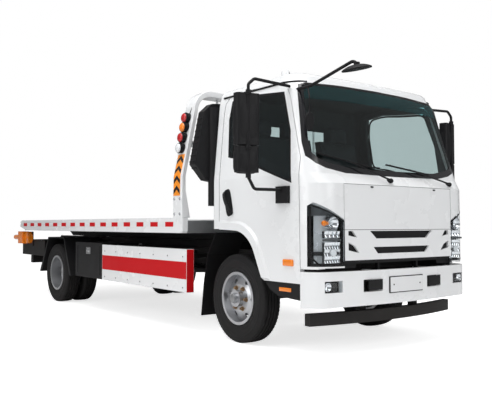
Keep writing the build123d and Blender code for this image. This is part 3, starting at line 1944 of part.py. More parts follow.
# Tilting frame on the rails: two beams, members between them, ears for the tilt rods, slide rod
tilt_rail_bottom = rail_top + tilt_lift
with BuildPart() as tilt_frame:
    for side_name, side in sides:
        across(
            [
                (tilt_rail_front, tilt_rail_bottom),
                (tilt_y - tilt_nose, tilt_rail_bottom),
                (tilt_y, tilt_height - tilt_nose / 2),
                (tilt_y, tilt_rail_top),
                (tilt_rail_front, tilt_rail_top),
            ],
            side * tilt_rail_inner,
            side * tilt_rail_outer,
        )
        cross_rod(
            side * tilt_rail_inner,
            side * tilt_rail_outer,
            tilt_y,
            tilt_height,
            tilt_rail_top - tilt_height,
        )
        cross_rod(
            side * (tilt_rail_inner - seat_gap),
            side * (tilt_rail_outer + seat_gap),
            tilt_y,
            tilt_height,
            tilt_pin_radius + seat_gap,
            mode=Mode.SUBTRACT,
        )
        for plate_x in (cylinder_x - eye_width / 2 - ear_gap, cylinder_x + eye_width / 2 + ear_gap):
            outer_x = plate_x + (ear_plate if plate_x > cylinder_x else -ear_plate)
            across(
                [
                    (rod_ear_member, tilt_rail_bottom + tilt_lift),
                    (rod_eye_y - rod_eye_radius / 2, rod_eye_height - rod_eye_radius),
                    (rod_eye_y - rod_eye_radius, rod_eye_height),
                    (rod_eye_y - rod_eye_radius / 2, tilt_rail_top - tilt_lift),
                    (rod_ear_member, tilt_rail_top - tilt_lift),
                ],
                side * plate_x,
                side * outer_x,
            )
        cross_rod(
            side * (cylinder_x - eye_width / 2 - ear_gap - ear_plate),
            side * (cylinder_x + eye_width / 2 + ear_gap + ear_plate),
            rod_eye_y,
            rod_eye_height,
            eye_pin_radius,
        )
    for share in tilt_member_places_share:
        y = spread(share, tilt_rail_front, tilt_y)
        block(
            -tilt_rail_inner,
            tilt_rail_inner,
            y,
            y + cross_depth,
            tilt_rail_bottom + tilt_lift,
            tilt_rail_top - tilt_lift,
        )
    block(
        -slide_barrel_radius,
        slide_barrel_radius,
        tilt_rail_front,
        tilt_rail_front + slide_foot,
        tilt_rail_bottom + tilt_lift,
        slide_level + slide_rod_radius + tilt_lift,
    )
    rod_between(
        (0, tilt_rail_front, slide_level),
        (0, tilt_rail_front + slide_barrel_length, slide_level),
        slide_rod_radius,
    )
keep(tilt_frame, "tilt_frame")

# Tilt cylinders under the frame: barrels hinged on the chassis, rods ending at the frame's ears
cylinder_run = Vector(0, rod_eye_y - barrel_base_y, rod_eye_height - barrel_base_height)
cylinder_dir = cylinder_run.normalized()
closed_length = cylinder_run.length


def cylinder_place(distance):
    """A place along the cylinder's line, counted from its lower pin."""
    return (barrel_base_y + cylinder_dir.Y * distance, barrel_base_height + cylinder_dir.Z * distance)


with BuildPart() as barrels:
    for side_name, side in sides:
        x = side * cylinder_x
        near_y, near_z = cylinder_place(eye_radius + neck_length)
        far_y, far_z = cylinder_place(barrel_length)
        floor_y, floor_z = cylinder_place(eye_radius + barrel_radius)
        rod_between((x, near_y, near_z), (x, far_y, far_z), barrel_radius)
        rod_between((x, barrel_base_y, barrel_base_height), (x, near_y, near_z), rod_radius)
        rod_between(
            (x, floor_y, floor_z),
            (x, far_y + cylinder_dir.Y * overrun, far_z + cylinder_dir.Z * overrun),
            rod_radius + seat_gap,
            mode=Mode.SUBTRACT,
        )
        cross_rod(x - eye_width / 2, x + eye_width / 2, barrel_base_y, barrel_base_height, eye_radius)
        cross_rod(
            x - eye_width,
            x + eye_width,
            barrel_base_y,
            barrel_base_height,
            eye_pin_radius + seat_gap,
            mode=Mode.SUBTRACT,
        )
keep(barrels, "tilt_cylinder_barrels")

with BuildPart() as rods:
    for side_name, side in sides:
        x = side * cylinder_x
        start_y, start_z = cylinder_place(eye_radius + barrel_radius + seam)
        rod_between((x, start_y, start_z), (x, rod_eye_y, rod_eye_height), rod_radius)
        cross_rod(x - eye_width / 2, x + eye_width / 2, rod_eye_y, rod_eye_height, rod_eye_radius)
        cross_rod(
            x - eye_width,
            x + eye_width,
            rod_eye_y,
            rod_eye_height,
            eye_pin_radius + rod_eye_play,
            mode=Mode.SUBTRACT,
        )
keep(rods, "tilt_cylinder_rods")

# Deck: a floor plate on an underframe, between two deep side rails that drop at the tail
deck_beam_bottom = tilt_rail_top + tilt_lift
deck_floor = deck_top - deck_sill
with BuildPart() as deck:
    block(-deck_half, deck_half, deck_front, deck_rear, deck_floor - deck_plate_thickness, deck_floor)
    for side_name, side in sides:
        across(
            placed(deck_rail_outline_share, deck_front, deck_rear, deck_rail_bottom, deck_top),
            side * (deck_half - deck_rail_width),
            side * deck_half,
        )
        with BuildSketch(level_plane(deck_floor)) as tie_holes:
            with Locations((side * (deck_half - tie_hole_inset), tie_hole_front)):
                with Locations((0, 0), (0, tie_hole_spacing)):
                    Circle(tie_hole_radius)
        extrude(tie_holes.sketch, amount=overrun / 4, both=True, mode=Mode.SUBTRACT)
keep(deck, "deck")

with BuildPart() as deck_underframe:
    for side_name, side in sides:
        across(
            [
                (deck_front + deck_front_beam, deck_beam_bottom),
                (deck_rear - deck_rib_width - deck_beam_slant, deck_beam_bottom),
                (deck_rear - deck_rib_width, deck_beam_top),
                (deck_front + deck_front_beam, deck_beam_top),
            ],
            side * tilt_rail_inner,
            side * tilt_rail_outer,
        )
    floor_under = deck_floor - deck_plate_thickness
    rib_half = deck_half - deck_rail_width
    for index in range(deck_ribs):
        y = spread(index / (deck_ribs - 1), deck_front + deck_front_beam, deck_rear - 2 * deck_rib_width)
        block(-rib_half, rib_half, y, y + deck_rib_width, deck_beam_top, floor_under)
    rod_between(
        (0, tilt_rail_front + slide_foot * 4, slide_level),
        (0, tilt_rail_front + slide_barrel_length + slide_foot * 4, slide_level),
        slide_barrel_radius,
    )
    for index in slide_hanger_ribs:
        y = spread(index / (deck_ribs - 1), deck_front + deck_front_beam, deck_rear - 2 * deck_rib_width)
        block(
            -slide_barrel_radius,
            slide_barrel_radius,
            y,
            y + deck_rib_width,
            slide_level,
            deck_beam_top,
        )
    rod_between(
        (0, tilt_rail_front, slide_level),
        (0, tilt_rail_front + slide_barrel_length + slide_foot, slide_level),
        slide_rod_radius + seat_gap,
        mode=Mode.SUBTRACT,
    )
keep(deck_underframe, "deck_underframe")

with BuildPart() as deck_front_wall:
    block(
        -rib_half,
        rib_half,
        deck_front + moving_gap,
        deck_front + deck_front_beam,
        deck_beam_top,
        floor_under,
    )
keep(deck_front_wall, "deck_front_beam")


# Head guard: a bent post on each side with a gusset, a beam over the top and bars between
def guard_bend(inset, drop):
    """Points of the post's bend into the beam: a quarter of an ellipse, from the post's top inwards."""
    places = []
    for step in range(guard_bend_steps + 1):
        angle = radians(90 * step / guard_bend_steps)
        x = post_top_x - post_round + (post_round - inset) * cos(angle)
        places.append((x, post_top + (guard_beam_top - drop - post_top) * sin(angle)))
    return places


with BuildPart() as head_guard:
    outside = [(deck_half, deck_top), (deck_half, post_knee)] + guard_bend(0, 0)
    inside_line = [
        (deck_half - post_base_thickness, deck_top),
        (deck_half - post_thickness, post_gusset_top),
        (deck_half - post_thickness, post_knee),
    ] + guard_bend(post_thickness, guard_beam_height)
    beam_half = post_top_x - post_round
    for side_name, side in sides:
        outline = outside + list(reversed(inside_line))
        along([(side * x, z) for x, z in outline], post_front, post_front + post_depth)
    block(
        -beam_half,
        beam_half,
        post_front,
        post_front + post_depth,
        guard_beam_top - guard_beam_height,
        guard_beam_top,
    )
    fillet(head_guard.faces().filter_by(Axis.Y).edges(), radius=post_edge_round)
    bar_y = post_front + (post_depth - guard_bar_depth) / 2
    bar_half = deck_half - post_thickness * 2
    block(
        -bar_half,
        bar_half,
        bar_y,
        bar_y + guard_bar_depth,
        guard_bar_level,
        guard_bar_level + guard_bar_height,
    )
    for index in range(guard_uprights):
        x = spread((index + 0.5) / guard_uprights, -bar_half * 0.8, bar_half * 0.8)
        upright_rod(
            x,
            bar_y + guard_bar_depth / 2,
            guard_bar_level + guard_bar_height / 2,
            guard_beam_top - guard_beam_height / 2,
            guard_bar_depth / 3,
        )
keep(head_guard, "head_guard")

# Lamps up the outside of each post
with BuildPart() as guard_lamps:
    for side_name, side in sides:
        lean_run = deck_half - post_top_x
        lean_rise = post_top - post_knee
        slope = hypot(lean_run, lean_rise)
        for level in guard_lamp_levels:
            x = deck_half - lean_run * (level - post_knee) / lean_rise
            out_x, out_z = lean_rise / slope, lean_run / slope
            rod_between(
                (side * (x + out_x * seat_gap), post_front + post_depth / 2, level + out_z * seat_gap),
                (
                    side * (x + out_x * marker_lamp_depth),
                    post_front + post_depth / 2,
                    level + out_z * marker_lamp_depth,
                ),
                marker_lamp_radius,
            )
keep(guard_lamps, "guard_lamps")

# Winch: a drum between two end plates on a base
with BuildPart() as winch:
    block(
        -winch_half,
        winch_half,
        winch_y - winch_flange_radius,
        winch_y + winch_flange_radius,
        deck_floor + seat_gap,
        deck_floor + seat_gap + winch_base,
    )
    axis_z = deck_floor + winch_base + winch_flange_radius * 1.15
    for side_name, side in sides:
        block(
            side * winch_half,
            side * (winch_half - winch_plate),
            winch_y - winch_flange_radius,
            winch_y + winch_flange_radius,
            deck_floor + winch_base,
            axis_z + winch_flange_radius,
        )
        cross_rod(
            side * (winch_half - winch_plate * 3),
            side * (winch_half - winch_plate * 4),
            winch_y,
            axis_z,
            winch_flange_radius,
        )
    cross_rod(-winch_half, winch_half, winch_y, axis_z, winch_drum_radius)
keep(winch, "winch")
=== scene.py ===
import json
import math

import bmesh
import bpy
import numpy as np
from bpy.props import FloatProperty, PointerProperty
from bpy.types import Operator, Panel, PropertyGroup
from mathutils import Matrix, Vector

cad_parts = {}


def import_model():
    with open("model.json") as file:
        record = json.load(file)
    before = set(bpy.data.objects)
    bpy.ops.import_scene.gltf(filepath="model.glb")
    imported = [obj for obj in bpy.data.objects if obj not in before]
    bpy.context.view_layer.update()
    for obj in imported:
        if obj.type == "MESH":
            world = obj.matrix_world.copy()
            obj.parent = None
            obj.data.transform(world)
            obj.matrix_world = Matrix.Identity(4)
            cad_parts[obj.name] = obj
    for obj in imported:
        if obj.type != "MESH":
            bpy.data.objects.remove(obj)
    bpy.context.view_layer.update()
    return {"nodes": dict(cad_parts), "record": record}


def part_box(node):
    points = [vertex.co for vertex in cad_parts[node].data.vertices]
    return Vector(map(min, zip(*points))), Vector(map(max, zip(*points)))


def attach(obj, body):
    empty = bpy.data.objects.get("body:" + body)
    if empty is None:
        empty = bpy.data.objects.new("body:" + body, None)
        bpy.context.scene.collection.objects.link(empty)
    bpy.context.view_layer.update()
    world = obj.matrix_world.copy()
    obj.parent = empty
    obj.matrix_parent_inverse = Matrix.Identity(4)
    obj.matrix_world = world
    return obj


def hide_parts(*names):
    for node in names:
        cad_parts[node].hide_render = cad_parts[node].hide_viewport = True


bl_info = {
    "name": "Flatbed Tow Truck Look",
    "version": (1, 0, 0),
    "blender": (4, 5, 0),
    "location": "View3D > Sidebar > Tow Truck",
    "description": "Adds tyres, lamps, cushions, trim, materials and a studio to the flatbed tow truck",
    "category": "Object",
}

SIDES = (("right", -1.0), ("left", 1.0))
FORWARD, BACKWARD, DOWN, UP = (0, -1, 0), (0, 1, 0), (0, 0, -1), (0, 0, 1)
AXLE_HEIGHT, REAR_AXLE = 0.386, 4.175

# Where sight lines start: beside the truck or a wheel, and ahead of the front axle or behind it
BESIDE, BESIDE_WHEEL, AHEAD, BEHIND = 1.6, 1.3, -2.5, 6.6

# Places along the truck are counted from the front axle, as in the CAD source
PLACES = {}


def datum():
    """The front axle's middle in the row frame: its Y, and how far the ground was moved."""
    if not PLACES:
        low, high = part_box("front_wheel_right")
        PLACES["y"] = (low.y + high.y) / 2
        PLACES["lift"] = (low.z + high.z) / 2 - AXLE_HEIGHT
    return PLACES


def row_y(y):
    """The row frame's Y of a place counted from the front axle."""
    return datum()["y"] + y


def at(x, y, z):
    """A place in the row frame, from one counted from the front axle and the old ground."""
    return np.array([x, row_y(y), z + datum()["lift"]], float)


def frame_of(axis):
    """Three unit directions at right angles, the first of them along the axis."""
    axis = np.asarray(axis, float)
    axis = axis / np.linalg.norm(axis)
    helper = np.array([0.0, 0.0, 1.0]) if abs(axis[2]) < 0.9 else np.array([1.0, 0.0, 0.0])
    across = np.cross(helper, axis)
    across /= np.linalg.norm(across)
    return axis, across, np.cross(axis, across)


# Mesh building: whole arrays of points, joined into one object at the end
class Shape:
    """Collects grids and faces, and welds them into one closed mesh."""

    def __init__(self):
        self.points, self.faces, self.slots, self.count = [], [], [], 0

    def add(self, points, faces, slot=0):
        points = np.asarray(points, float).reshape(-1, 3)
        self.points.append(points)
        self.faces += [tuple(int(i) + self.count for i in face) for face in faces]
        self.slots += [slot] * len(faces)
        self.count += len(points)
        return self

    def grid(self, points, wrap_u=False, wrap_v=False, slot=0):
        """Quads over an array of rows by columns of points, wrapped where asked."""
        points = np.asarray(points, float)
        rows, columns = points.shape[:2]
        index = np.arange(rows * columns).reshape(rows, columns)
        if wrap_u:
            index = np.vstack([index, index[:1]])
        if wrap_v:
            index = np.hstack([index, index[:, :1]])
        quads = np.stack([index[:-1, :-1], index[1:, :-1], index[1:, 1:], index[:-1, 1:]], -1)
        return self.add(points, quads.reshape(-1, 4).tolist(), slot)

    def lathe(self, profile, centre, axis, steps=48, slot=0):
        """A profile of (radius, distance along the axis) pairs, turned round the axis."""
        profile = np.asarray(profile, float)
        axis, across, up = frame_of(axis)
        angle = np.linspace(0, 2 * np.pi, steps, endpoint=False)
        ring = np.cos(angle)[:, None] * across + np.sin(angle)[:, None] * up
        points = centre + profile[None, :, 1, None] * axis + profile[None, :, 0, None] * ring[:, None, :]
        return self.grid(points, wrap_u=True, slot=slot)

    def disc(self, centre, axis, radius, depth, steps, crown=0.0):
        """A round button: flat back, rounded rim and slightly domed face."""
        profile = [(0, 0), (radius, 0), (radius, depth * 0.7), (radius * 0.93, depth * 0.95),
                   (radius * 0.5, depth + crown * 0.7), (0, depth + crown)]
        return self.lathe(profile, centre, axis, steps)

    def tube(self, path, radius, sides=16, slot=0):
        """A round section carried along a path without twist, with flat ends."""
        path = np.asarray(path, float)
        radius = np.broadcast_to(np.asarray(radius, float), (len(path),))
        run = np.gradient(path, axis=0)
        run /= np.linalg.norm(run, axis=1)[:, None]
        across = frame_of(run[0])[1]
        frames = []
        for step in run:
            across = across - step * across.dot(step)
            across /= np.linalg.norm(across)
            frames.append((across, np.cross(step, across)))
        angle = np.linspace(0, 2 * np.pi, sides, endpoint=False)
        a, b = np.array(frames).transpose(1, 0, 2)
        ring = np.cos(angle)[None, :, None] * a[:, None] + np.sin(angle)[None, :, None] * b[:, None]
        points = path[:, None] + radius[:, None, None] * ring
        ends = [np.broadcast_to(path[end], (1, sides, 3)) for end in (0, -1)]
        return self.grid(np.concatenate([ends[0], points, ends[1]]), wrap_v=True, slot=slot)

    def pillow(self, centre, size, rounding, steps=(28, 20), slot=0):
        """A box with rounded edges and corners: a sphere whose eight parts are moved apart."""
        size = np.asarray(size, float) / 2
        rounding = min(rounding, size.min())
        u = np.linspace(0, 2 * np.pi, steps[0], endpoint=False) + np.pi / steps[0]
        v = np.linspace(-np.pi / 2, np.pi / 2, steps[1])
        u, v = np.meshgrid(u, v, indexing="ij")
        unit = np.stack([np.cos(v) * np.cos(u), np.cos(v) * np.sin(u), np.sin(v)], -1)
        points = unit * rounding + np.where(unit >= 0, 1.0, -1.0) * (size - rounding)
        pole = np.abs(np.cos(v)) < 1e-9
        points[pole] = unit[pole] * rounding
        points[pole, 2] = np.sign(unit[pole][:, 2]) * size[2]
        return self.grid(points + np.asarray(centre, float), wrap_u=True, slot=slot)

    def slab(self, outline, start, axes, thickness, slot=0):
        """A flat outline in the plane of the first two axes, thickened along the third."""
        axes = np.asarray(axes, float)
        flat = np.asarray(outline, float) @ axes[:2]
        n = len(flat)
        points = np.concatenate([flat, flat + axes[2] * thickness]) + np.asarray(start, float)
        faces = [tuple(range(n))[::-1], tuple(range(n, 2 * n))]
        faces += [(i, (i + 1) % n, n + (i + 1) % n, n + i) for i in range(n)]
        return self.add(points, faces, slot)

    def drape(self, starts, run, node, lift, thickness, slot=0):
        """A thin shell that lies on a node: a grid of places sent along one direction until they meet it.

        A place whose line misses takes what the nearest place in the list met.
        """
        rows, columns = starts.shape[:2]
        met = [touch(node, p, run) for p in starts.reshape(-1, 3)]
        known = [i for i, m in enumerate(met) if m is not None]
        for i, m in enumerate(met):
            if m is None:
                met[i] = met[min(known, key=lambda k: abs(k - i))]
        place = np.array([m[0] for m in met]).reshape(rows, columns, 3)
        normal = np.array([m[1] for m in met]).reshape(rows, columns, 3)
        normal *= np.where((normal @ np.asarray(run, float)) > 0, -1.0, 1.0)[..., None]
        low, high = place + normal * (lift - thickness), place + normal * lift
        self.grid(np.concatenate([low[:, :1], high, low[:, ::-1]], axis=1), slot=slot)
        if not np.allclose(place[0], place[-1]):
            for end in (0, rows - 1):
                self.grid(np.stack([low[end], high[end]], axis=1), slot=slot)
        return self

    def drape_side(self, flat, s, node, lift, thickness):
        """A shell on a node's side, from rows of (y, z) pairs."""
        starts = np.stack([np.full(flat.shape[:2], s * BESIDE), row_y(0) + flat[..., 0],
                           flat[..., 1] + datum()["lift"]], -1)
        return self.drape(starts, (-s, 0, 0), node, lift, thickness)

    def drape_front(self, flat, node, lift, thickness, s=1, slot=0):
        """A shell on a node's front, from rows of (x, z) pairs."""
        starts = np.stack([s * flat[..., 0], np.full(flat.shape[:2], row_y(AHEAD)),
                           flat[..., 1] + datum()["lift"]], -1)
        return self.drape(starts, BACKWARD, node, lift, thickness, slot)

    def emit(self, name, looks, smooth=True, angle=35):
        """Welds what was collected into one object, with its faces turned outwards."""
        points = np.concatenate(self.points)
        _, first, back = np.unique(np.round(points, 6), axis=0, return_index=True, return_inverse=True)
        back = back.reshape(-1)
        faces, slots = [], []
        for face, slot in zip(self.faces, self.slots):
            loop = [int(back[i]) for i in face]
            loop = [a for a, b in zip(loop, loop[1:] + loop[:1]) if a != b]
            if len(set(loop)) > 2:
                faces.append(loop)
                slots.append(slot)
        mesh = bpy.data.meshes.new(name)
        mesh.from_pydata(points[first].tolist(), [], faces)
        mesh.validate()
        for look in [looks] if isinstance(looks, str) else looks:
            mesh.materials.append(finish(look))
        if len(slots) == len(mesh.polygons):
            mesh.polygons.foreach_set("material_index", slots)
        mesh.update()
        work = bmesh.new()
        work.from_mesh(mesh)
        bmesh.ops.recalc_face_normals(work, faces=work.faces)
        work.to_mesh(mesh)
        work.free()
        mesh.polygons.foreach_set("use_smooth", [smooth] * len(mesh.polygons))
        piece = bpy.data.objects.new(name, mesh)
        bpy.context.scene.collection.objects.link(piece)
        if smooth:
            mesh.set_sharp_from_angle(angle=math.radians(angle))
        return piece

    def fit(self, name, looks, body, slot, replaced=(), smooth=True, angle=35):
        """Emits a piece that rides on a body, and takes the place of CAD nodes where they are named."""
        piece = self.emit(name, looks, smooth, angle)
        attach(piece, body)
        if replaced:
            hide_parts(*replaced)
        return piece


# Lines and loops
def rounded_path(points, radius, steps=8):
    """A path through corner points, with each inner corner replaced by a curve of about that radius."""
    points = [np.asarray(p, float) for p in points]
    path = [points[0]]
    for before, corner, after in zip(points, points[1:], points[2:]):
        a, b = before - corner, after - corner
        reach = min(radius, np.linalg.norm(a) / 2.01, np.linalg.norm(b) / 2.01)
        start, end = corner + a / np.linalg.norm(a) * reach, corner + b / np.linalg.norm(b) * reach
        t = np.linspace(0, 1, steps)[:, None]
        path += list((1 - t) ** 2 * start + 2 * t * (1 - t) * corner + t ** 2 * end)
    path.append(points[-1])
    return np.array(path)


def rounded_loop(points, radius):
    """A closed outline with each corner replaced by a short curve."""
    points = np.asarray(points, float)
    n = len(points)
    out = []
    for k in range(n):
        path = rounded_path([points[k - 1], points[k], points[(k + 1) % n]], radius, 6)
        out += list(path[1:-1])
    return np.array(out)


def closed(points):
    """The points with the first one again at the end."""
    return np.concatenate([points, points[:1]])


def resampled(points, count):
    """Even steps round a closed line through points."""
    points = closed(np.asarray(points, float))
    run = np.concatenate([[0], np.cumsum(np.linalg.norm(np.diff(points, axis=0), axis=1))])
    t = np.linspace(0, run[-1], count + 1)
    return np.stack([np.interp(t, run, points[:, k]) for k in range(points.shape[1])], -1)[:-1]


def squared(angle, power):
    """A circle drawn out towards a square: each of its two shares to a power, with its sign kept."""
    shares = np.stack([np.cos(angle), np.sin(angle)], -1)
    return np.sign(shares) * np.abs(shares) ** power


# Finding the built solids
def touch(node, start, run):
    """Where a straight line from a place meets a node, with the outward normal there."""
    hit, place, normal, _ = bpy.data.objects[node].ray_cast(Vector(start), Vector(run))
    return (np.array(place), np.array(normal)) if hit else None


def from_side(node, s, y, z, out=BESIDE):
    """Where a level line from beside the truck meets a node, or nothing."""
    met = touch(node, at(s * out, y, z), (-s, 0, 0))
    return met and met[0]


def from_front(node, x, z):
    """Where a level line from ahead of the truck meets a node, or nothing."""
    met = touch(node, at(x, AHEAD, z), BACKWARD)
    return met and met[0]


# Materials: one node recipe for opaque finishes and one for glass, read in object coordinates
class Nodes:
    """One node tree, emptied, to which nodes are added with their values and wires."""

    def __init__(self, owner):
        owner.use_nodes = True
        self.tree = owner.node_tree
        self.tree.nodes.clear()

    def add(self, kind, output="", inputs=None, **settings):
        """Adds a node, and returns its named output, or the node itself where none is named."""
        node = self.tree.nodes.new("ShaderNode" + kind)
        for name, value in settings.items():
            setattr(node, name, value)
        for key, value in (inputs or {}).items():
            if isinstance(value, bpy.types.NodeSocket):
                self.tree.links.new(value, node.inputs[key])
            else:
                node.inputs[key].default_value = value
        return node.outputs[output] if output else node

    def spread(self, value, *limits):
        """Maps one range of values to another: from low, from high, to low, to high."""
        keys = ("From Min", "From Max", "To Min", "To Max")
        return self.add("MapRange", "Result", {"Value": value, **dict(zip(keys, limits))})


def surface(name, base, rough=0.4, metallic=0.0, coat=0.0, grime=0.25, grime_color=(0.12, 0.10, 0.08),
            speck=900.0, bump=0.02, ior=1.45):
    """A finish with cloudy dirt that thickens towards the ground, uneven gloss and fine bumps.

    Dirt share = cloud noise above a threshold, raised near the ground; roughness follows the same cloud;
    bump height is a fine noise of `speck` grains a metre.
    """
    material = bpy.data.materials.new(name)
    nodes = Nodes(material)
    place = nodes.add("TexCoord", "Object")
    cloud = nodes.add("TexNoise", "Fac", {"Vector": place, "Scale": 1.4, "Detail": 8.0, "Roughness": 0.62})
    fine = nodes.add("TexNoise", "Fac", {"Vector": place, "Scale": speck, "Detail": 3.0})
    level = nodes.add("SeparateXYZ", "Z", {"Vector": place})
    splash = nodes.spread(level, 0.35, 1.25, 0.34, 0.0)
    dirt = nodes.add("Math", "Value", {0: cloud, 1: splash}, operation="ADD")
    share = nodes.spread(dirt, 0.5, 0.95, 0.0, grime)
    colour = nodes.add("Mix", "Result", {"Factor": share, "A": (*base, 1.0), "B": (*grime_color, 1.0)},
                       data_type="RGBA")
    gloss = nodes.spread(cloud, 0.3, 0.75, max(rough - 0.05, 0.02), min(rough + 0.14, 1.0))
    relief = nodes.add("Bump", "Normal", {"Strength": 0.35, "Distance": bump * 0.01, "Height": fine})
    shader = nodes.add("BsdfPrincipled", "BSDF", {
        "Base Color": colour, "Roughness": gloss, "Normal": relief, "Metallic": metallic, "Coat Weight": coat,
        "Coat Roughness": 0.05, "IOR": ior})
    nodes.add("OutputMaterial", inputs={"Surface": shader})
    material.diffuse_color = (*base, 1.0)
    return material


def glass(name, tint, density, shine=0.9):
    """Thin tinted glass, slightly dusty: clear with a dimming share; its shine is 3% seen straight on and
    rises with the fifth power of the slant, alike on both faces."""
    material = bpy.data.materials.new(name)
    nodes = Nodes(material)
    place = nodes.add("TexCoord", "Object")
    cloud = nodes.add("TexNoise", "Fac", {"Vector": place, "Scale": 3.0, "Detail": 6.0})
    gloss = nodes.spread(cloud, 0.0, 1.0, 0.02, 0.08)
    relief = nodes.add("Bump", "Normal", {"Strength": 0.04, "Distance": 0.002, "Height": cloud})
    clear = nodes.add("BsdfTransparent", "BSDF", {"Color": (*tint, 1.0)})
    mirror = nodes.add("BsdfGlossy", "BSDF", {"Color": (shine, shine, shine, 1.0), "Roughness": gloss,
                                              "Normal": relief})
    slant = nodes.add("LayerWeight", "Facing", {"Blend": 0.5})
    steep = nodes.add("Math", "Value", {0: slant, 1: 5.0}, operation="POWER")
    share = nodes.add("Math", "Value", {0: steep, 1: density, 2: 0.03}, operation="MULTIPLY_ADD")
    blend = nodes.add("MixShader", "Shader", {"Fac": share, 1: clear, 2: mirror})
    nodes.add("OutputMaterial", inputs={"Surface": blend})
    material.diffuse_color = (*tint, 0.4)
    return material


DUST = (0.05, 0.043, 0.036)
FINISHES = {
    "white_paint": dict(base=(0.78, 0.79, 0.80), rough=0.22, coat=0.6, grime=0.03,
                        grime_color=(0.52, 0.50, 0.47)),
    "black_frame": dict(base=(0.009, 0.009, 0.010), rough=0.5, grime=0.30, grime_color=DUST, ior=1.28),
    "black_plastic": dict(base=(0.008, 0.008, 0.009), rough=0.48, grime=0.10, grime_color=(0.04, 0.036, 0.03),
                          speck=2200.0, bump=0.03, ior=1.28),
    "black_gloss": dict(base=(0.010, 0.010, 0.012), rough=0.12, coat=0.4, grime=0.04),
    "grey_plastic": dict(base=(0.075, 0.08, 0.085), rough=0.55, grime=0.15, speck=2200.0, bump=0.03),
    "grey_metal": dict(base=(0.30, 0.31, 0.32), rough=0.42, metallic=0.7, grime=0.35),
    "deck_steel": dict(base=(0.33, 0.34, 0.35), rough=0.48, metallic=0.35, grime=0.45,
                       grime_color=(0.16, 0.15, 0.14)),
    "engine_metal": dict(base=(0.12, 0.12, 0.125), rough=0.5, metallic=0.6, grime=0.6,
                         grime_color=(0.05, 0.04, 0.03)),
    "wheel_silver": dict(base=(0.52, 0.53, 0.55), rough=0.30, metallic=0.9, grime=0.20, speck=500.0),
    "bright_steel": dict(base=(0.62, 0.63, 0.65), rough=0.22, metallic=1.0, grime=0.10),
    "bronze": dict(base=(0.36, 0.25, 0.15), rough=0.32, metallic=1.0, grime=0.15),
    "chrome_rod": dict(base=(0.75, 0.76, 0.78), rough=0.08, metallic=1.0, grime=0.05),
    "tyre": dict(base=(0.010, 0.010, 0.011), rough=0.7, grime=0.16, grime_color=DUST, speck=700.0, bump=0.06,
                 ior=1.3),
    "seat_cloth": dict(base=(0.045, 0.047, 0.052), rough=0.9, grime=0.10, speck=1600.0, bump=0.12),
    "lamp_bowl": dict(base=(0.80, 0.81, 0.83), rough=0.25, metallic=0.3, grime=0.06, speck=200.0, bump=0.1),
    "plate_white": dict(base=(0.76, 0.77, 0.78), rough=0.35, grime=0.08, speck=500.0),
    "rope_steel": dict(base=(0.34, 0.33, 0.32), rough=0.4, metallic=0.9, grime=0.35, speck=300.0, bump=0.3),
    "cab_lining": dict(base=(0.055, 0.058, 0.062), rough=0.75, grime=0.08, speck=900.0, bump=0.08),
    "red_tape": dict(base=(0.52, 0.004, 0.008), rough=0.45, grime=0.03, speck=600.0, bump=0.05, ior=1.22),
    "white_tape": dict(base=(0.72, 0.73, 0.74), rough=0.3, grime=0.10, speck=600.0, bump=0.05),
    "orange_tape": dict(base=(0.86, 0.27, 0.015), rough=0.35, grime=0.08),
    "red_lens": dict(base=(0.45, 0.008, 0.01), rough=0.12, coat=0.6, grime=0.04),
    "amber_lens": dict(base=(0.85, 0.22, 0.012), rough=0.12, coat=0.6, grime=0.04),
    "clear_lens": dict(base=(0.72, 0.74, 0.76), rough=0.10, coat=0.6, grime=0.04),
    "mirror_glass": dict(base=(0.62, 0.65, 0.68), rough=0.03, metallic=1.0, grime=0.02, bump=0.0),
    "reflector": dict(base=(0.80, 0.81, 0.83), rough=0.12, metallic=1.0, grime=0.04, bump=0.0),
}
GLASSES = {
    "window_glass": dict(tint=(0.80, 0.85, 0.85), density=0.8, shine=0.8),
    "lamp_glass": dict(tint=(0.96, 0.98, 0.99), density=0.9),
    "tint_glass": dict(tint=(0.62, 0.90, 0.92), density=0.9),
}


def finish(name):
    """The named material, made once; its own name keeps it apart from the plain colours that came in."""
    own = "look_" + name
    if own in bpy.data.materials:
        return bpy.data.materials[own]
    if name in GLASSES:
        return glass(own, **GLASSES[name])
    return surface(own, **FINISHES[name])


# Nodes whose look isn't the one that their slot names
NODE_FINISH = {
    "front_bumper": "white_paint",
    "side_guards": "white_paint",
    "head_guard": "white_paint",
    "deck": "white_paint",
    "toolboxes": "black_plastic",
    "toolbox_lid_right": "black_plastic",
    "toolbox_lid_left": "black_plastic",
    "headlamps": "lamp_glass",
    "fog_lamps": "lamp_glass",
    "guard_lamps": "black_plastic",
    "cab_steps": "black_plastic",
}


def paint_nodes(frame):
    """Gives each CAD node the finish that its slot names, or the one listed for it."""
    slots = {s["node"]: s["material_slot"] for s in frame["record"]["subparts"]}
    for name, node in frame["nodes"].items():
        wanted = NODE_FINISH.get(name, slots[name])
        node.data.materials.clear()
        node.data.materials.append(finish(wanted))


def line(node, look, chosen):
    """A second finish on the faces that a rule chooses from their middles and outward normals."""
    mesh = node.data
    mesh.materials.append(finish(look))
    centre, normal = np.empty(len(mesh.polygons) * 3), np.empty(len(mesh.polygons) * 3)
    mesh.polygons.foreach_get("center", centre)
    mesh.polygons.foreach_get("normal", normal)
    picked = chosen(centre.reshape(-1, 3), normal.reshape(-1, 3))
    mesh.polygons.foreach_set("material_index", picked.astype(np.int32))
    mesh.update()


def line_deck(frame):
    """Bare worn steel on the deck's faces that look up; its rails stay white."""
    between_rails = 1.085
    line(frame["nodes"]["deck"], "deck_steel",
         lambda centre, normal: (normal[:, 2] > 0.9) & (np.abs(centre[:, 0]) < between_rails))


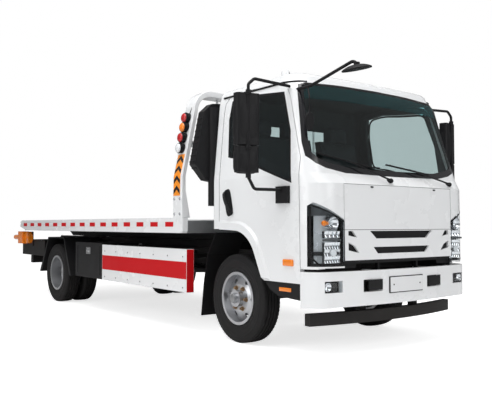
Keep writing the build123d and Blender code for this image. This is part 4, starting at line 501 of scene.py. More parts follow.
def line_cab(frame):
    """Dark lining on the faces of the cab's shell that look inwards: those turned to the cab's middle."""
    middle = at(0.0, -0.35, 1.75)
    for name in ("cab_roof", "cab_back_wall", "cab_front_frame", "door_right", "door_left"):
        line(frame["nodes"][name], "cab_lining",
             lambda centre, normal: np.einsum("ij,ij->i", normal, middle - centre) > 0.02)


# Tyres: five ribs parted by four zigzag grooves, over rounded shoulders and ringed sidewalls
TYRE_SIDE = ((0.2425, 0.080), (0.250, 0.088), (0.262, 0.0930), (0.276, 0.0965), (0.280, 0.0985),
             (0.284, 0.0970), (0.305, 0.1025), (0.330, 0.1050), (0.345, 0.1045), (0.3475, 0.1060),
             (0.351, 0.1040), (0.368, 0.1000), (0.384, 0.0945), (0.395, 0.0895), (0.4010, 0.0850),
             (0.4040, 0.0800))
TYRE_TREAD = ((0.4060, 0.0580), (0.3960, 0.0555), (0.3960, 0.0500), (0.4070, 0.0475),
              (0.4075, 0.0215), (0.3970, 0.0195), (0.3970, 0.0140), (0.4078, 0.0120))
WAVES, WAVE_REACH, NOTCH_DEPTH = 36, 0.0022, 0.004


def tyre(shape, middle, angles=216):
    """Radius and offset from the middle plane per profile point; the groove points also swing to and fro
    with the angle as a triangle wave of 36 teeth a turn, and shoulder blocks are cut by 72 notches."""
    half = [(r, x, 0) for r, x in TYRE_SIDE] + [(r, x, 1) for r, x in TYRE_TREAD]
    profile = np.array(half + [(r, -x, swings) for r, x, swings in reversed(half)])
    turn = np.linspace(0, 2 * np.pi, angles, endpoint=False)
    wave = np.abs(((turn * WAVES / (2 * np.pi)) % 1.0) - 0.5) * 4 - 1
    notch = (np.arange(angles) % 3 == 0).astype(float)
    shoulder = ((np.abs(profile[:, 1]) > 0.079) & (profile[:, 0] > 0.394)).astype(float)
    r = profile[None, :, 0] - NOTCH_DEPTH * notch[:, None] * shoulder[None, :]
    x = profile[None, :, 1] + WAVE_REACH * wave[:, None] * profile[None, :, 2]
    points = np.stack([x, -np.sin(turn)[:, None] * r, np.cos(turn)[:, None] * r], -1)
    return shape.grid(points + np.asarray(middle, float), wrap_u=True, wrap_v=True)


def build_tyres():
    front, rear_pair = 0.84, (0.6975, 0.9525)
    for side, s in SIDES:
        tyre(Shape(), at(s * front, 0, AXLE_HEIGHT)).fit(
            "front_tread_" + side, "tyre", "front_wheel_" + side, "tyre", ("front_tyre_" + side,), angle=40)
        pair = Shape()
        for x in rear_pair:
            tyre(pair, at(s * x, REAR_AXLE, AXLE_HEIGHT))
        pair.fit("rear_tread_" + side, "tyre", "rear_wheels_" + side, "tyre", ("rear_tyres_" + side,),
                 angle=40)


# Wheel nuts on their washers and studs, hub caps and valves
NUT_CIRCLE, VALVE_CIRCLE, VALVE_ANGLE, NUTS = 0.103, 0.150, 0.35, 6
NUT_PARTS = (([(0, 0), (0.0225, 0), (0.0225, 0.006), (0, 0.006)], 24),
             ([(0, 0), (0.0165, 0), (0.0165, 0.019), (0.0135, 0.024), (0, 0.024)], 6),
             ([(0, 0), (0.009, 0), (0.009, 0.032), (0.006, 0.035), (0, 0.035)], 16))
VALVE = [(0, -0.01), (0.006, -0.01), (0.006, 0.018), (0.0045, 0.030), (0, 0.031)]


def on_wheel(node, s, y, radius, angle):
    """Where a wheel's face lies at a distance from its axle and an angle round it."""
    y, z = y + radius * math.cos(angle), AXLE_HEIGHT + radius * math.sin(angle)
    return from_side(node, s, y, z, BESIDE_WHEEL)


def build_wheel_details():
    for side, s in SIDES:
        out = (s, 0, 0)
        for node, y, start, colour in (("front_wheel_" + side, 0.0, 1.10, "bronze"),
                                       ("rear_wheels_" + side, REAR_AXLE, 1.40, "grey_metal")):
            nuts = Shape()
            for k in range(NUTS):
                base = on_wheel(node, s, y, NUT_CIRCLE, start + 2 * np.pi * k / NUTS) - (s * 0.003, 0, 0)
                for profile, steps in NUT_PARTS:
                    nuts.lathe(profile, base, out, steps)
            nuts.fit(node + "_nuts", colour, node, "wheel_silver", angle=30)
            cap = Shape()
            cap.disc(on_wheel(node, s, y, 0, 0) - (s * 0.004, 0, 0), out, 0.040, 0.012, 40, crown=0.006)
            cap.lathe(VALVE, on_wheel(node, s, y, VALVE_CIRCLE, VALVE_ANGLE), out, 12)
            cap.fit(node + "_cap", "grey_metal", node, "wheel_silver", angle=30)


# Windshield border, tint band and wipers; the outline's heights are shares of the cab's top
SCREEN = ((0, .6145), (.60, .618), (.80, .632), (.90, .648), (.957, .672), (.957, .72), (.907, .912),
          (.885, .929), (.82, .9385), (.45, .9455), (0, .947))
CAB_TOP = 2.400


def build_windshield_trim():
    """The border's inner edge is the outline drawn in towards the middle: least at the top, most below."""
    half = [(x, z * CAB_TOP) for x, z in SCREEN]
    rim = resampled(half + [(-x, z) for x, z in reversed(half[1:-1])], 160)
    middle, half_size = np.array([0.0, 1.88]), np.array([0.957, 0.38])
    high = np.clip((rim[:, 1] - 1.50) / 0.7, 0, 1)
    wide_low, wide_top, wide_side = 0.050, 0.016, 0.045
    wide = np.where(np.abs(rim[:, 0]) > 0.88, wide_side, wide_low + (wide_top - wide_low) * high)
    reach = (rim - middle) / half_size
    inner = rim - np.sign(reach) * np.clip(np.abs(reach), 0, 1) * wide[:, None]
    outer = rim + (middle - rim) * 0.004
    t = np.linspace(0, 1, 4)[None, :, None]
    flat = closed(outer[:, None] * (1 - t) + inner[:, None] * t)
    Shape().drape_front(flat, "cab_glass", 0.0016, 0.0012).fit(
        "windshield_border", "black_gloss", "cab", "black_plastic", angle=60)
    x = np.linspace(-0.86, 0.86, 61)
    top = np.interp(np.abs(x), [0, .45, .82, .87], [2.250, 2.246, 2.228, 2.20])
    low = np.interp(np.abs(x), [0, .45, .82, .87], [2.125, 2.123, 2.110, 2.10])
    t = np.linspace(0, 1, 5)
    z = low[:, None] * (1 - t) + top[:, None] * t
    flat = np.stack([np.broadcast_to(x[:, None], z.shape), z], -1)
    Shape().drape_front(flat, "cab_glass", 0.0009, 0.0007).fit(
        "windshield_tint", "tint_glass", "cab", "window_glass", angle=60)


def on_glass(x, z, off):
    """A place ahead of the glass, or of the frame or panel below it, by a distance."""
    for node in ("cab_glass", "cab_front_frame", "front_panel_and_grille"):
        spot = from_front(node, x, z)
        if spot is not None:
            return spot - (0, off, 0)


# Number, pivot, blade's tip, point where the blade's line starts, and how far across from it the blade begins
WIPERS = ((1, (-0.128, 1.435), (-0.876, 1.636), (-0.30, 1.545), 0.10),
          (2, (0.715, 1.435), (-0.098, 1.580), (0.45, 1.520), 0.02))
ARM_STEPS, BLADE_STEPS, BLADE_CLIPS = 12, 26, (2, 9, 16, 23)


def build_wipers():
    """Each wiper: pivot, bent arm and a long blade of a frame and a rubber, laid on the glass."""
    for number, pivot, tip, heel, gap in WIPERS:
        shape = Shape()
        shape.lathe([(0, 0.012), (0.021, 0.012), (0.021, -0.030), (0.014, -0.040), (0, -0.042)],
                    on_glass(*pivot, 0.0), BACKWARD, 24)
        hold = (tip[0] + heel[0]) / 2
        arm_x = np.linspace(pivot[0], hold, ARM_STEPS)
        arm_z = np.interp(arm_x[::-1], sorted([pivot[0], hold]), [(tip[1] + heel[1]) / 2, pivot[1]])[::-1]
        off = np.interp(np.linspace(0, 1, ARM_STEPS), [0, 0.3, 1], [0.036, 0.050, 0.034])
        arm = [on_glass(*spot) for spot in zip(arm_x, arm_z, off)]
        shape.tube(arm, np.linspace(0.0085, 0.0055, ARM_STEPS), 10)
        blade_x = np.linspace(heel[0] + gap, tip[0], BLADE_STEPS)
        blade_z = np.interp(-blade_x, [-heel[0], -tip[0]], [heel[1], tip[1]])
        for off, radius in ((0.022, 0.0055), (0.011, 0.0075)):
            shape.tube([on_glass(a, b, off) for a, b in zip(blade_x, blade_z)], radius, 8)
        for k in BLADE_CLIPS:
            shape.tube([on_glass(blade_x[k], blade_z[k], off) for off in (0.026, 0.008)], 0.008, 8)
        shape.fit("wiper_%d" % number, "black_plastic", "cab", "black_plastic", angle=40)
    nozzles = Shape()
    for x in (-0.379, 0.446):
        nozzles.pillow(from_front("front_panel_and_grille", x, 1.372), (0.030, 0.020, 0.014), 0.006)
    nozzles.fit("washer_nozzles", "black_plastic", "cab", "black_plastic")


# Front lamps
LAMP_BOWL = [(0.004, 0.0), (0.026, -0.012), (0.0442, -0.034), (0.052, -0.052), (0.056, -0.052),
             (0.056, 0.004), (0.004, 0.004)]
LAMP_BULB = [(0, 0), (0.010, 0), (0.010, -0.030), (0.006, -0.036), (0, -0.037)]
LAMP_LENS = [(0, 0), (0.030, 0), (0.030, -0.012), (0.022, -0.018), (0, -0.019)]
LAMP_FLASHER = [(0, 0), (0.022, 0), (0.022, -0.012), (0.014, -0.020), (0, -0.022)]
LAMP_OUTLINE = [(0.697, 0.735), (0.697, 1.094), (0.84, 1.165), (0.972, 1.225), (0.975, 0.98), (0.975, 0.80),
                (0.93, 0.735)]
FOG_BOWL = [(0.004, 0), (0.024, -0.010), (0.034, -0.026), (0.036, -0.026), (0.036, 0.004), (0.004, 0.004)]
LAMP_LOOKS = ("reflector", "clear_lens", "clear_lens", "amber_lens", "grey_plastic", "lamp_bowl")
FACETS_FROM, FACETS_TO, FACETS_DEEP = 0.715, 0.885, 0.030


def build_headlamps():
    """Behind each glass: a bowl with its bulb, two faceted mirrors, a lens, a flasher, a bar and a lining."""
    for side, s in SIDES:
        shape = Shape()

        def face(x, z, deep):
            return from_front("headlamps", s * x, z) + (0, deep, 0)

        base = face(0.805, 1.070, 0.060)
        shape.lathe(LAMP_BOWL, base, BACKWARD, 40)
        shape.lathe(LAMP_BULB, base, BACKWARD, 16, 1)
        for low, high, facets, tiers in ((0.752, 0.918, 6, 3), (0.952, 1.006, 4, 1)):
            gx, gz = np.meshgrid(np.linspace(FACETS_FROM, FACETS_TO, facets * 6 + 1),
                                 np.linspace(low, high, 13), indexing="ij")
            cell = np.abs(np.sin((gx - FACETS_FROM) / (FACETS_TO - FACETS_FROM) * np.pi * facets)) * 0.012
            cell += np.abs(np.sin((gz - low) / (high - low) * np.pi * tiers)) * 0.008
            near = face(0.80, (low + high) / 2, FACETS_DEEP)[1]
            points = np.stack([s * gx, near + cell, gz + datum()["lift"]], -1)
            back = points.copy()
            back[..., 1] = near + FACETS_DEEP
            shape.grid(np.concatenate([back[:, :1], points, back[:, -1:], back[:, ::-1]], axis=1))
            for end in (0, -1):
                shape.grid(np.stack([points[end], back[end]], 1))
        gx, share = np.meshgrid(np.linspace(0.708, 0.962, 15), np.linspace(0, 1, 13), indexing="ij")
        foot = 0.748
        crest = np.interp(gx, [0.70, 0.84, 0.97], [1.078, 1.145, 1.205])
        lining = np.stack([gx, foot + (crest - foot) * share], -1)
        shape.drape_front(lining, "headlamps", -0.075, 0.004, s, 5)
        shape.lathe(LAMP_LENS, face(0.80, 0.835, 0.028), BACKWARD, 32, 2)
        shape.lathe(LAMP_FLASHER, face(0.875, 1.070, 0.030), BACKWARD, 24, 3)
        bar = face(0.80, 0.937, 0.020)
        shape.slab([(0.712, -0.008), (0.90, -0.008), (0.90, 0.008), (0.712, 0.008)], (0, bar[1], bar[2]),
                   ((s, 0, 0), UP, BACKWARD), 0.02, 4)
        shape.fit("headlamp_inside_" + side, LAMP_LOOKS, "cab", "chrome_rod", angle=30)
        flat = closed(resampled(LAMP_OUTLINE, 90))
        middle = np.array([0.836, 0.93])
        edges = np.stack([flat + (middle - flat) * inset for inset in (0.015, 0.075)], 1)
        Shape().drape_front(edges, "headlamps", 0.0012, 0.0010, s).fit(
            "headlamp_rim_" + side, "black_plastic", "cab", "black_plastic", angle=60)
        build_fog_lamp(side, s)


def build_fog_lamp(side, s):
    """A dark rim round the lamp's glass and a small bowl behind it."""
    low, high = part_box("fog_lamps")
    x0, x1 = 0.757, high.x - 0.004
    z0, z1 = low.z + 0.003 - datum()["lift"], high.z - 0.003 - datum()["lift"]
    ring = closed(rounded_loop([(x0, z0), (x0, z1), (x1, z1), (x1, z0)], 0.02))
    middle = np.array([(x0 + x1) / 2, (z0 + z1) / 2])
    edges = np.stack([ring, (ring - middle) * (0.88, 0.80) + middle], 1)
    Shape().drape_front(edges, "fog_lamps", 0.0014, 0.0012, s).fit(
        "fog_lamp_rim_" + side, "black_plastic", "chassis", "black_plastic", angle=60)
    base = from_front("fog_lamps", s * 0.853, 0.565) + (0, 0.030, 0)
    Shape().lathe(FOG_BOWL, base, BACKWARD, 32).fit(
        "fog_lamp_inside_" + side, "reflector", "chassis", "chrome_rod", angle=40)


# Bumper: blank plate with its holder and screws, and dark tow slots
def build_bumper_details():
    plate_level, slot_level = 0.556, 0.565
    face_y = from_front("front_bumper", 0.0, 0.56)[1] - row_y(0)
    Shape().pillow(at(0.0, face_y - 0.008, plate_level), (0.42, 0.006, 0.125), 0.003, (40, 24)).fit(
        "number_plate", "plate_white", "chassis", "white_paint")
    trims = Shape()
    trims.pillow(at(0.0, face_y - 0.002, plate_level), (0.435, 0.008, 0.14), 0.004, (40, 24))
    for x in (-0.17, 0.17):
        trims.disc(at(x, face_y - 0.010, plate_level), FORWARD, 0.007, 0.003, 12)
    for low, high in ((-0.47, -0.30), (0.30, 0.47)):
        trims.pillow(at((low + high) / 2, face_y - 0.001, slot_level), (high - low, 0.006, 0.085), 0.003,
                     (36, 20))
    trims.fit("bumper_trims", "black_plastic", "chassis", "black_plastic")


# Door handles in their recesses, marker lamps, step reflectors and window seals
HANDLE_TOP, HANDLE_FOOT = np.array([0.101, 1.355]), np.array([-0.022, 1.160])
RECESS_MIDDLE, RECESS_LEAN = np.array([0.045, 1.262]), math.radians(-14)
SEAL_START, SEAL_SIZE = np.array([-0.938, 0.586]), np.array([1.128, 1.690])
SEAL = np.array([(.899, .6485), (.713, .625), (.424, .5556), (.0878, .4805), (.1277, .7408), (.2314, .9438),
                 (.7172, .9757), (.898, .9633), (.9264, .8592)])


def build_side_details():
    """The handle stands off its door by the root of a sine; the seal is the window's outline drawn in."""
    for side, s in SIDES:
        door = "door_" + side
        path = []
        for k in np.linspace(0, 1, 14):
            off = 0.004 + 0.034 * math.sin(math.pi * k) ** 0.5
            path.append(from_side(door, s, *(HANDLE_TOP + (HANDLE_FOOT - HANDLE_TOP) * k)) + (s * off, 0, 0))
        ring = squared(np.linspace(0, 2 * np.pi, 40), 0.5) * (0.056, 0.125)
        turn = np.array([[math.cos(RECESS_LEAN), -math.sin(RECESS_LEAN)],
                         [math.sin(RECESS_LEAN), math.cos(RECESS_LEAN)]])
        rows = np.stack([(ring * k) @ turn.T + RECESS_MIDDLE for k in (0.02, 0.4, 0.75, 1.0)], 1)
        Shape().drape_side(rows, s, door, 0.0015, 0.0012).fit(
            "handle_recess_" + side, "black_plastic", door, "black_plastic", angle=60)
        Shape().tube(path, 0.013, 14).fit(
            "door_handle_" + side, "black_plastic", door, "black_plastic", angle=50)
        Shape().pillow(from_side(door, s, -0.80, 0.75) + (s * 0.004, 0, 0), (0.026, 0.125, 0.055), 0.010,
                       (32, 20)).fit("door_marker_lamp_" + side, "amber_lens", door, "amber_lens")
        Shape().pillow(from_side("cab_steps", s, -0.745, 0.527) + (s * 0.002, 0, 0), (0.008, 0.15, 0.032),
                       0.003).fit("step_reflector_" + side, "amber_lens", "cab", "amber_lens")
        flat = closed(resampled(rounded_loop(SEAL_START + SEAL * SEAL_SIZE, 0.07), 140))
        run = flat.mean(axis=0) - flat
        run /= np.linalg.norm(run, axis=1)[:, None]
        rows = np.stack([flat + run * k for k in (0.003, 0.013, 0.024)], 1)
        Shape().drape_side(rows, s, "door_glass_" + side, 0.003, 0.0028).fit(
            "door_glass_seal_" + side, "black_plastic", door, "black_plastic", angle=60)


# Deck rails, side panels and head guard
TAPES, TAPE_LAST, TAPE_PITCH, TAPE_LEVEL = 15, 5.221, 0.3115, 1.064


def patch(shape, middle, s, half, thickness):
    """One strip of tape on a rail's side, by half its length and half its height."""
    a, b = half
    shape.slab([(-a, -b), (a, -b), (a, b), (-a, b)], middle, (BACKWARD, UP, (s, 0, 0)), thickness)


def build_deck_tapes():
    """Fifteen red reflective patches a side on the rail, with paler tape between them."""
    for side, s in SIDES:
        red, pale = Shape(), Shape()
        for k in range(TAPES):
            spot = from_side("deck", s, TAPE_LAST - k * TAPE_PITCH, TAPE_LEVEL)
            patch(red, spot + (s * 0.0002, 0, 0), s, (0.079, 0.024), 0.0014)
            if k < TAPES - 1:
                patch(pale, spot + (s * 0.0002, -0.1557, 0), s, (0.076, 0.024), 0.0010)
        red.fit("rail_tape_red_" + side, "red_tape", "deck", "white_paint", smooth=False)
        pale.fit("rail_tape_pale_" + side, "white_tape", "deck", "white_paint", smooth=False)


RIVET = [(0, -0.001), (0.009, -0.001), (0.008, 0.003), (0.004, 0.005), (0, 0.0055)]
RETURN_FOOT, RETURN_TOP = 0.399, 0.817


def build_side_panel_details():
    """The side panel's red band, its front return and rivets, and the toolboxes' latches and ribs."""
    for side, s in SIDES:
        gy, gz = np.meshgrid(np.linspace(0.612, 2.540, 24), np.linspace(0.525, 0.694, 4), indexing="ij")
        Shape().drape_side(np.stack([gy, gz], -1), s, "side_guards", 0.0012, 0.0010).fit(
            "side_band_" + side, "red_tape", "chassis", "white_paint", angle=60)
        hits = [touch("side_guards", at(s * x, 0.3, 0.60), BACKWARD) for x in np.linspace(0.94, 1.099, 54)]
        near = np.array([m[0] for m in hits if m is not None and m[0][1] < row_y(0.70)])
        x0, x1 = np.abs(near[:, 0]).min(), np.abs(near[:, 0]).max()
        z0, z1 = RETURN_FOOT + datum()["lift"], RETURN_TOP + datum()["lift"]
        Shape().slab([(x0, z0), (x1, z0), (x1, z1), (x0, z1)], (0, near[:, 1].min() - 0.0012, 0),
                     ((s, 0, 0), UP, BACKWARD), 0.0011).fit(
            "side_return_" + side, "red_tape", "chassis", "white_paint", smooth=False)
        rivets = Shape()
        for y in np.linspace(0.68, 2.47, 7):
            for z in (0.745, 0.440):
                spot = from_side("side_guards", s, y, z)
                if spot is not None:
                    rivets.lathe(RIVET, spot, (s, 0, 0), 16)
        rivets.fit("side_rivets_" + side, "grey_metal", "chassis", "grey_metal")
        lid = "toolbox_lid_" + side
        latch, spot = Shape(), from_side(lid, s, 2.96, 0.735)
        latch.pillow(spot + (s * 0.001, 0, 0), (0.008, 0.125, 0.085), 0.004, (32, 20), 1)
        latch.pillow(spot + (s * 0.006, 0, -0.006), (0.012, 0.085, 0.028), 0.006, (32, 20))
        latch.disc(spot + (s * 0.003, 0, 0.022), (s, 0, 0), 0.011, 0.006, 20)
        latch.fit("toolbox_latch_" + side, ("bright_steel", "grey_metal"), lid, "grey_metal")
        ribs = Shape()
        for y in (2.62, 3.30):
            ribs.pillow(from_side(lid, s, y, 0.62), (0.010, 0.020, 0.36), 0.005, (24, 24))
        ribs.fit("toolbox_ribs_" + side, "black_plastic", lid, "black_plastic")


STRIP_FOOT, STRIP_TOP, CHEVRON_LEVELS = 1.346, 1.757, (1.362, 1.462, 1.562, 1.662)
LENS_RIM = [(0, -0.006), (0.0515, -0.006), (0.0515, 0.004), (0.047, 0.008), (0, 0.008)]
LENS_DOME = [(0, 0.004), (0.046, 0.004)]
LENS_DOME += [(0.046 * math.cos(a), 0.008 + 0.022 * math.sin(a)) for a in np.linspace(0, math.pi / 2, 9)]
GUARD_LENSES = ((1.819, "clear_lens"), (1.924, "red_lens"), (2.029, "amber_lens"), (2.126, "red_lens"))
GUARD_CABLES = (((1.02, 0.70, 2.15), (0.99, 0.66, 2.27), (0.93, 0.66, 2.33), (0.86, 0.70, 2.36)),
                ((1.045, 0.70, 2.05), (1.005, 0.64, 2.16), (0.965, 0.64, 2.27), (0.95, 0.70, 2.33)))


def post_middle(z):
    """The middle of the head guard's leaning post at a height."""
    return np.interp(z, [STRIP_FOOT, STRIP_TOP], [0.718, 0.700])


def build_head_guard_details():
    for side, s in SIDES:
        z = np.linspace(STRIP_FOOT, STRIP_TOP, 49)
        gy = post_middle(z)[:, None] + np.linspace(-0.062, 0.062, 9)[None, :]
        flat = np.stack([gy, np.broadcast_to(z[:, None], gy.shape)], -1)
        Shape().drape_side(flat, s, "head_guard", 0.0014, 0.0012).fit(
            "guard_strip_" + side, "orange_tape", "deck", "amber_lens", angle=60)
        marks = Shape()
        k = np.linspace(0, 1, 9)
        peak = 0.045 * (1 - np.abs(2 * k - 1))
        for foot in CHEVRON_LEVELS:
            y = post_middle(foot) - 0.058 + 0.116 * k
            rows = np.stack([np.stack([y, foot + peak + up], -1) for up in (0.0, 0.020, 0.040)], 1)
            marks.drape_side(rows, s, "head_guard", 0.0024, 0.0012)
        marks.fit("guard_chevrons_" + side, "black_gloss", "deck", "black_plastic", angle=60)
        bolts = Shape()
        for z in (1.165, 1.315):
            for y in (0.655, 0.755):
                spot = from_side("head_guard", s, y, z)
                bolts.lathe([(0, -0.002), (0.015, -0.002), (0.015, 0.003), (0, 0.003)], spot, (s, 0, 0), 20)
                bolts.lathe([(0, 0), (0.010, 0), (0.010, 0.009), (0, 0.010)], spot, (s, 0, 0), 6)
        bolts.fit("guard_bolts_" + side, "bright_steel", "deck", "grey_metal", angle=30)
        for number, (z, look) in enumerate(GUARD_LENSES):
            spot = from_side("guard_lamps", s, 0.705, z)
            lens = Shape().lathe(LENS_RIM, spot, (s, 0, 0)).lathe(LENS_DOME, spot, (s, 0, 0), slot=1)
            lens.fit("guard_lens_%s_%d" % (side, number), ("black_plastic", look), "deck", "amber_lens",
                     angle=40)
        cables = Shape()
        for points in GUARD_CABLES:
            cables.tube(rounded_path([at(s * x, y, z) for x, y, z in points], 0.08), 0.007, 10)
        cables.fit("guard_cables_" + side, "black_plastic", "deck", "black_plastic")


# Door mirrors: rounded shells on their arms, with the glass on the rear face; sections are (depth, size)
MIRROR_SHELL = ((0.046, 0.0), (0.046, 0.90), (0.043, 0.955), (0.036, 0.99), (0.010, 1.01), (-0.020, 0.97),
                (-0.040, 0.86), (-0.050, 0.62), (-0.053, 0.30), (-0.054, 0.0))
MIRROR_FACE = ((0.0485, 0.0), (0.0485, 0.84), (0.0465, 0.845), (0.0455, 0.80), (0.0455, 0.0))
CLAMP = [(0, -0.018), (0.022, -0.018), (0.022, 0.018), (0, 0.018)]


def build_mirrors():
    for side, s in SIDES:
        door = "door_" + side
        shell, face = Shape(), Shape()
        turn = math.radians(12) * s
        cos, sin = math.cos(turn), math.sin(turn)
        axes = np.array([[cos, sin, 0], [-sin, cos, 0], [0, 0, 1]])
        for low, high, width in ((1.697, 2.090, 0.216), (1.470, 1.680, 0.206)):
            rim = squared(np.linspace(0, 2 * np.pi, 48, endpoint=False), 0.42) * (width / 2, (high - low) / 2)
            for shape, sections in ((shell, MIRROR_SHELL), (face, MIRROR_FACE)):
                rows = [np.stack([rim[:, 0] * size, np.full(len(rim), depth), rim[:, 1] * size], -1)
                        for depth, size in sections]
                points = np.array(rows) @ axes + at(s * 1.320, -0.655, (low + high) / 2)
                shape.grid(points.transpose(1, 0, 2), wrap_u=True)
        shell.fit("mirror_shells_" + side, "black_plastic", door, "black_plastic", angle=50)
        face.fit("mirror_faces_" + side, "mirror_glass", door, "chrome_rod", angle=40)
        clamps = Shape()
        for z in (2.125, 1.688, 1.452):
            clamps.lathe(CLAMP, at(s * 1.335, -0.700, z), UP, 20)
        clamps.fit("mirror_clamps_" + side, "black_plastic", door, "black_plastic", angle=40)
        spots = [from_side("cab_roof", s, y, 2.262) for y in np.linspace(-0.86, 0.22, 40)]
        path = [spot + (s * 0.003, 0, 0) for spot in spots if spot is not None]
        Shape().tube(path, 0.009, 10).fit("drip_rail_" + side, "black_plastic", "cab", "black_plastic")


# Rear lamps
LAMP_LEVEL = 0.86


def build_rear_lamps():
    """Two round markers on each side, and a square red lens to the rear."""
    for side, s in SIDES:
        markers = Shape()
        for y in (5.32, 5.50):
            spot = from_side("rear_lamps", s, y, LAMP_LEVEL) - (s * 0.001, 0, 0)
            markers.disc(spot, (s, 0, 0), 0.030, 0.007, 28, crown=0.003)
        markers.fit("side_marker_" + side, "amber_lens", "chassis", "amber_lens")
        spot = touch("rear_lamps", at(s * 1.02, BEHIND, LAMP_LEVEL), FORWARD)[0] + (0, 0.002, 0)
        Shape().pillow(spot, (0.10, 0.012, 0.10), 0.005).fit(
            "rear_lenses_" + side, "red_lens", "chassis", "amber_lens")


# Winch: rope wound on the drum, with its hook
DRUM_RADIUS, ROPE_RADIUS, ROPE_END_RADIUS, ROPE_TURNS, TURN_STEPS = 0.062, 0.0085, 0.0065, 14, 28
HOOK = ((0, 0, 0), (0, 0.05, 0.012), (-0.03, 0.10, 0.012), (0.0, 0.135, 0.012), (0.035, 0.11, 0.012),
        (0.03, 0.075, 0.012))


def build_winch_rope():
    """A helix of 14 turns in one layer, sunk a little into the drum; its end runs down to a hook."""
    t = np.linspace(0, 1, ROPE_TURNS * TURN_STEPS + 1)
    drum_top = float(touch("winch", at(0.0, 0.90, 1.60), DOWN)[0][2])
    radius = DRUM_RADIUS + 0.0045
    angle = 2 * np.pi * ROPE_TURNS * t + np.pi / 2
    coil = np.stack([-0.13 + 0.26 * t, row_y(0.90) + radius * np.cos(angle),
                     drum_top - DRUM_RADIUS + radius * np.sin(angle)], -1)
    shape = Shape().tube(coil, ROPE_RADIUS, 8)
    end, rest = coil[-1], at(0, 0, 1.128)[2] + 0.012
    path = rounded_path([end, end + (0.0, 0.12, 0.0), (end[0] - 0.05, row_y(1.25), rest),
                         (end[0] - 0.09, row_y(1.42), rest)], 0.12, 10)
    shape.tube(path, ROPE_END_RADIUS, 8)
    hook = rounded_path(path[-1] + np.array(HOOK), 0.03, 6)
    shape.tube(hook, 0.010, 12, 1)
    shape.fit("winch_rope_and_hook", ("rope_steel", "grey_metal"), "deck", "grey_metal", angle=60)


# Seats: cushions with rounded edges, filled by a cloth run
def build_seats():
    """A base and a back for the driver and for the bench, and three head rests."""
    number = 0
    for x, width in ((0.430, 0.460), (-0.390, 0.820)):
        for y, z, depth, height in ((-0.185, 1.215, 0.44, 0.15), (0.085, 1.615, 0.13, 0.60)):
            cushion = Shape().pillow(at(x, y, z), (width, depth, height), 0.045, (44, 30))
            piece = cushion.fit("seat_cushion_%d" % number, "seat_cloth", "cab", "seat_cloth", angle=70)
            pad(piece)
            number += 1
    heads = Shape()
    for x in (0.430, -0.60, -0.18):
        heads.pillow(at(x, 0.085, 1.990), (0.25, 0.10, 0.15), 0.040, (36, 24))
    heads.fit("seat_head_rests", "seat_cloth", "cab", "seat_cloth", angle=70)


def pad(piece, reach=0.022, frames=20):
    """Fills one cushion: a short cloth run under inner pressure, with each point's way kept below a limit."""
    scene = bpy.context.scene
    mesh = piece.data
    before, after = np.empty(len(mesh.vertices) * 3), np.empty(len(mesh.vertices) * 3)
    mesh.vertices.foreach_get("co", before)
    cloth = piece.modifiers.new("fill", "CLOTH")
    cloth.settings.use_pressure = True
    cloth.settings.uniform_pressure_force = 4
    cloth.settings.effector_weights.gravity = 0
    cloth.settings.quality = 5
    cloth.point_cache.frame_start, cloth.point_cache.frame_end = 1, frames
    for number in range(1, frames + 1):
        scene.frame_set(number)
    ready = piece.evaluated_get(bpy.context.evaluated_depsgraph_get()).to_mesh()
    ready.vertices.foreach_get("co", after)
    piece.modifiers.remove(cloth)
    scene.frame_set(1)
    way = (after - before).reshape(-1, 3)
    length = np.linalg.norm(way, axis=1)[:, None]
    way *= np.minimum(1.0, reach / np.maximum(length, 1e-9))
    mesh.vertices.foreach_set("co", (before.reshape(-1, 3) + way).ravel())
    mesh.update()


# Air vents on the dashboard, and ribs on the air intake
def build_vents():
    """Each vent: a dark frame with three lighter bars across it."""
    vents = Shape()
    for x in (-0.55, -0.20, 0.12, 0.72):
        spot = touch("dashboard", at(x, -0.20, 1.34), FORWARD)[0]
        vents.pillow(spot, (0.15, 0.012, 0.075), 0.005)
        for k in (-1, 0, 1):
            vents.pillow(spot + (0, 0.006, k * 0.020), (0.13, 0.010, 0.006), 0.003, slot=1)
    vents.fit("dashboard_vents", ("black_plastic", "grey_plastic"), "cab", "grey_plastic")


def build_intake_ribs():
    ribs = Shape()
    for z in np.linspace(1.60, 2.08, 9):
        ribs.pillow(from_side("air_intake", -1, 0.42, z), (0.012, 0.085, 0.018), 0.005)
    ribs.fit("intake_ribs", "black_plastic", "cab", "black_plastic")


# Studio: floor, soft light and the photo's camera; each light has its place, aim, size and share of power
SOFT_LIGHTS = (("soft_top", (-2.5, -3.0, 8.0), (0, -1.0, 0.6), 7.0, 1.0),
               ("soft_right", (-9.0, -2.0, 3.6), (0, 0, 1.0), 5.0, 0.30),
               ("soft_front", (1.0, -11.0, 4.2), (0, -3, 1.2), 5.0, 0.34))
SKY_STOPS = ((0.47, (0.30, 0.31, 0.32, 1)), (0.80, (1, 1, 1, 1)))


def placed(name, data, location, look):
    """A stage object at a place, turned to look along a direction."""
    item = bpy.data.objects.new(name, data)
    bpy.context.scene.collection.objects.link(item)
    item.location = location
    item.rotation_euler = look.to_track_quat("-Z", "Y").to_euler()
    return item


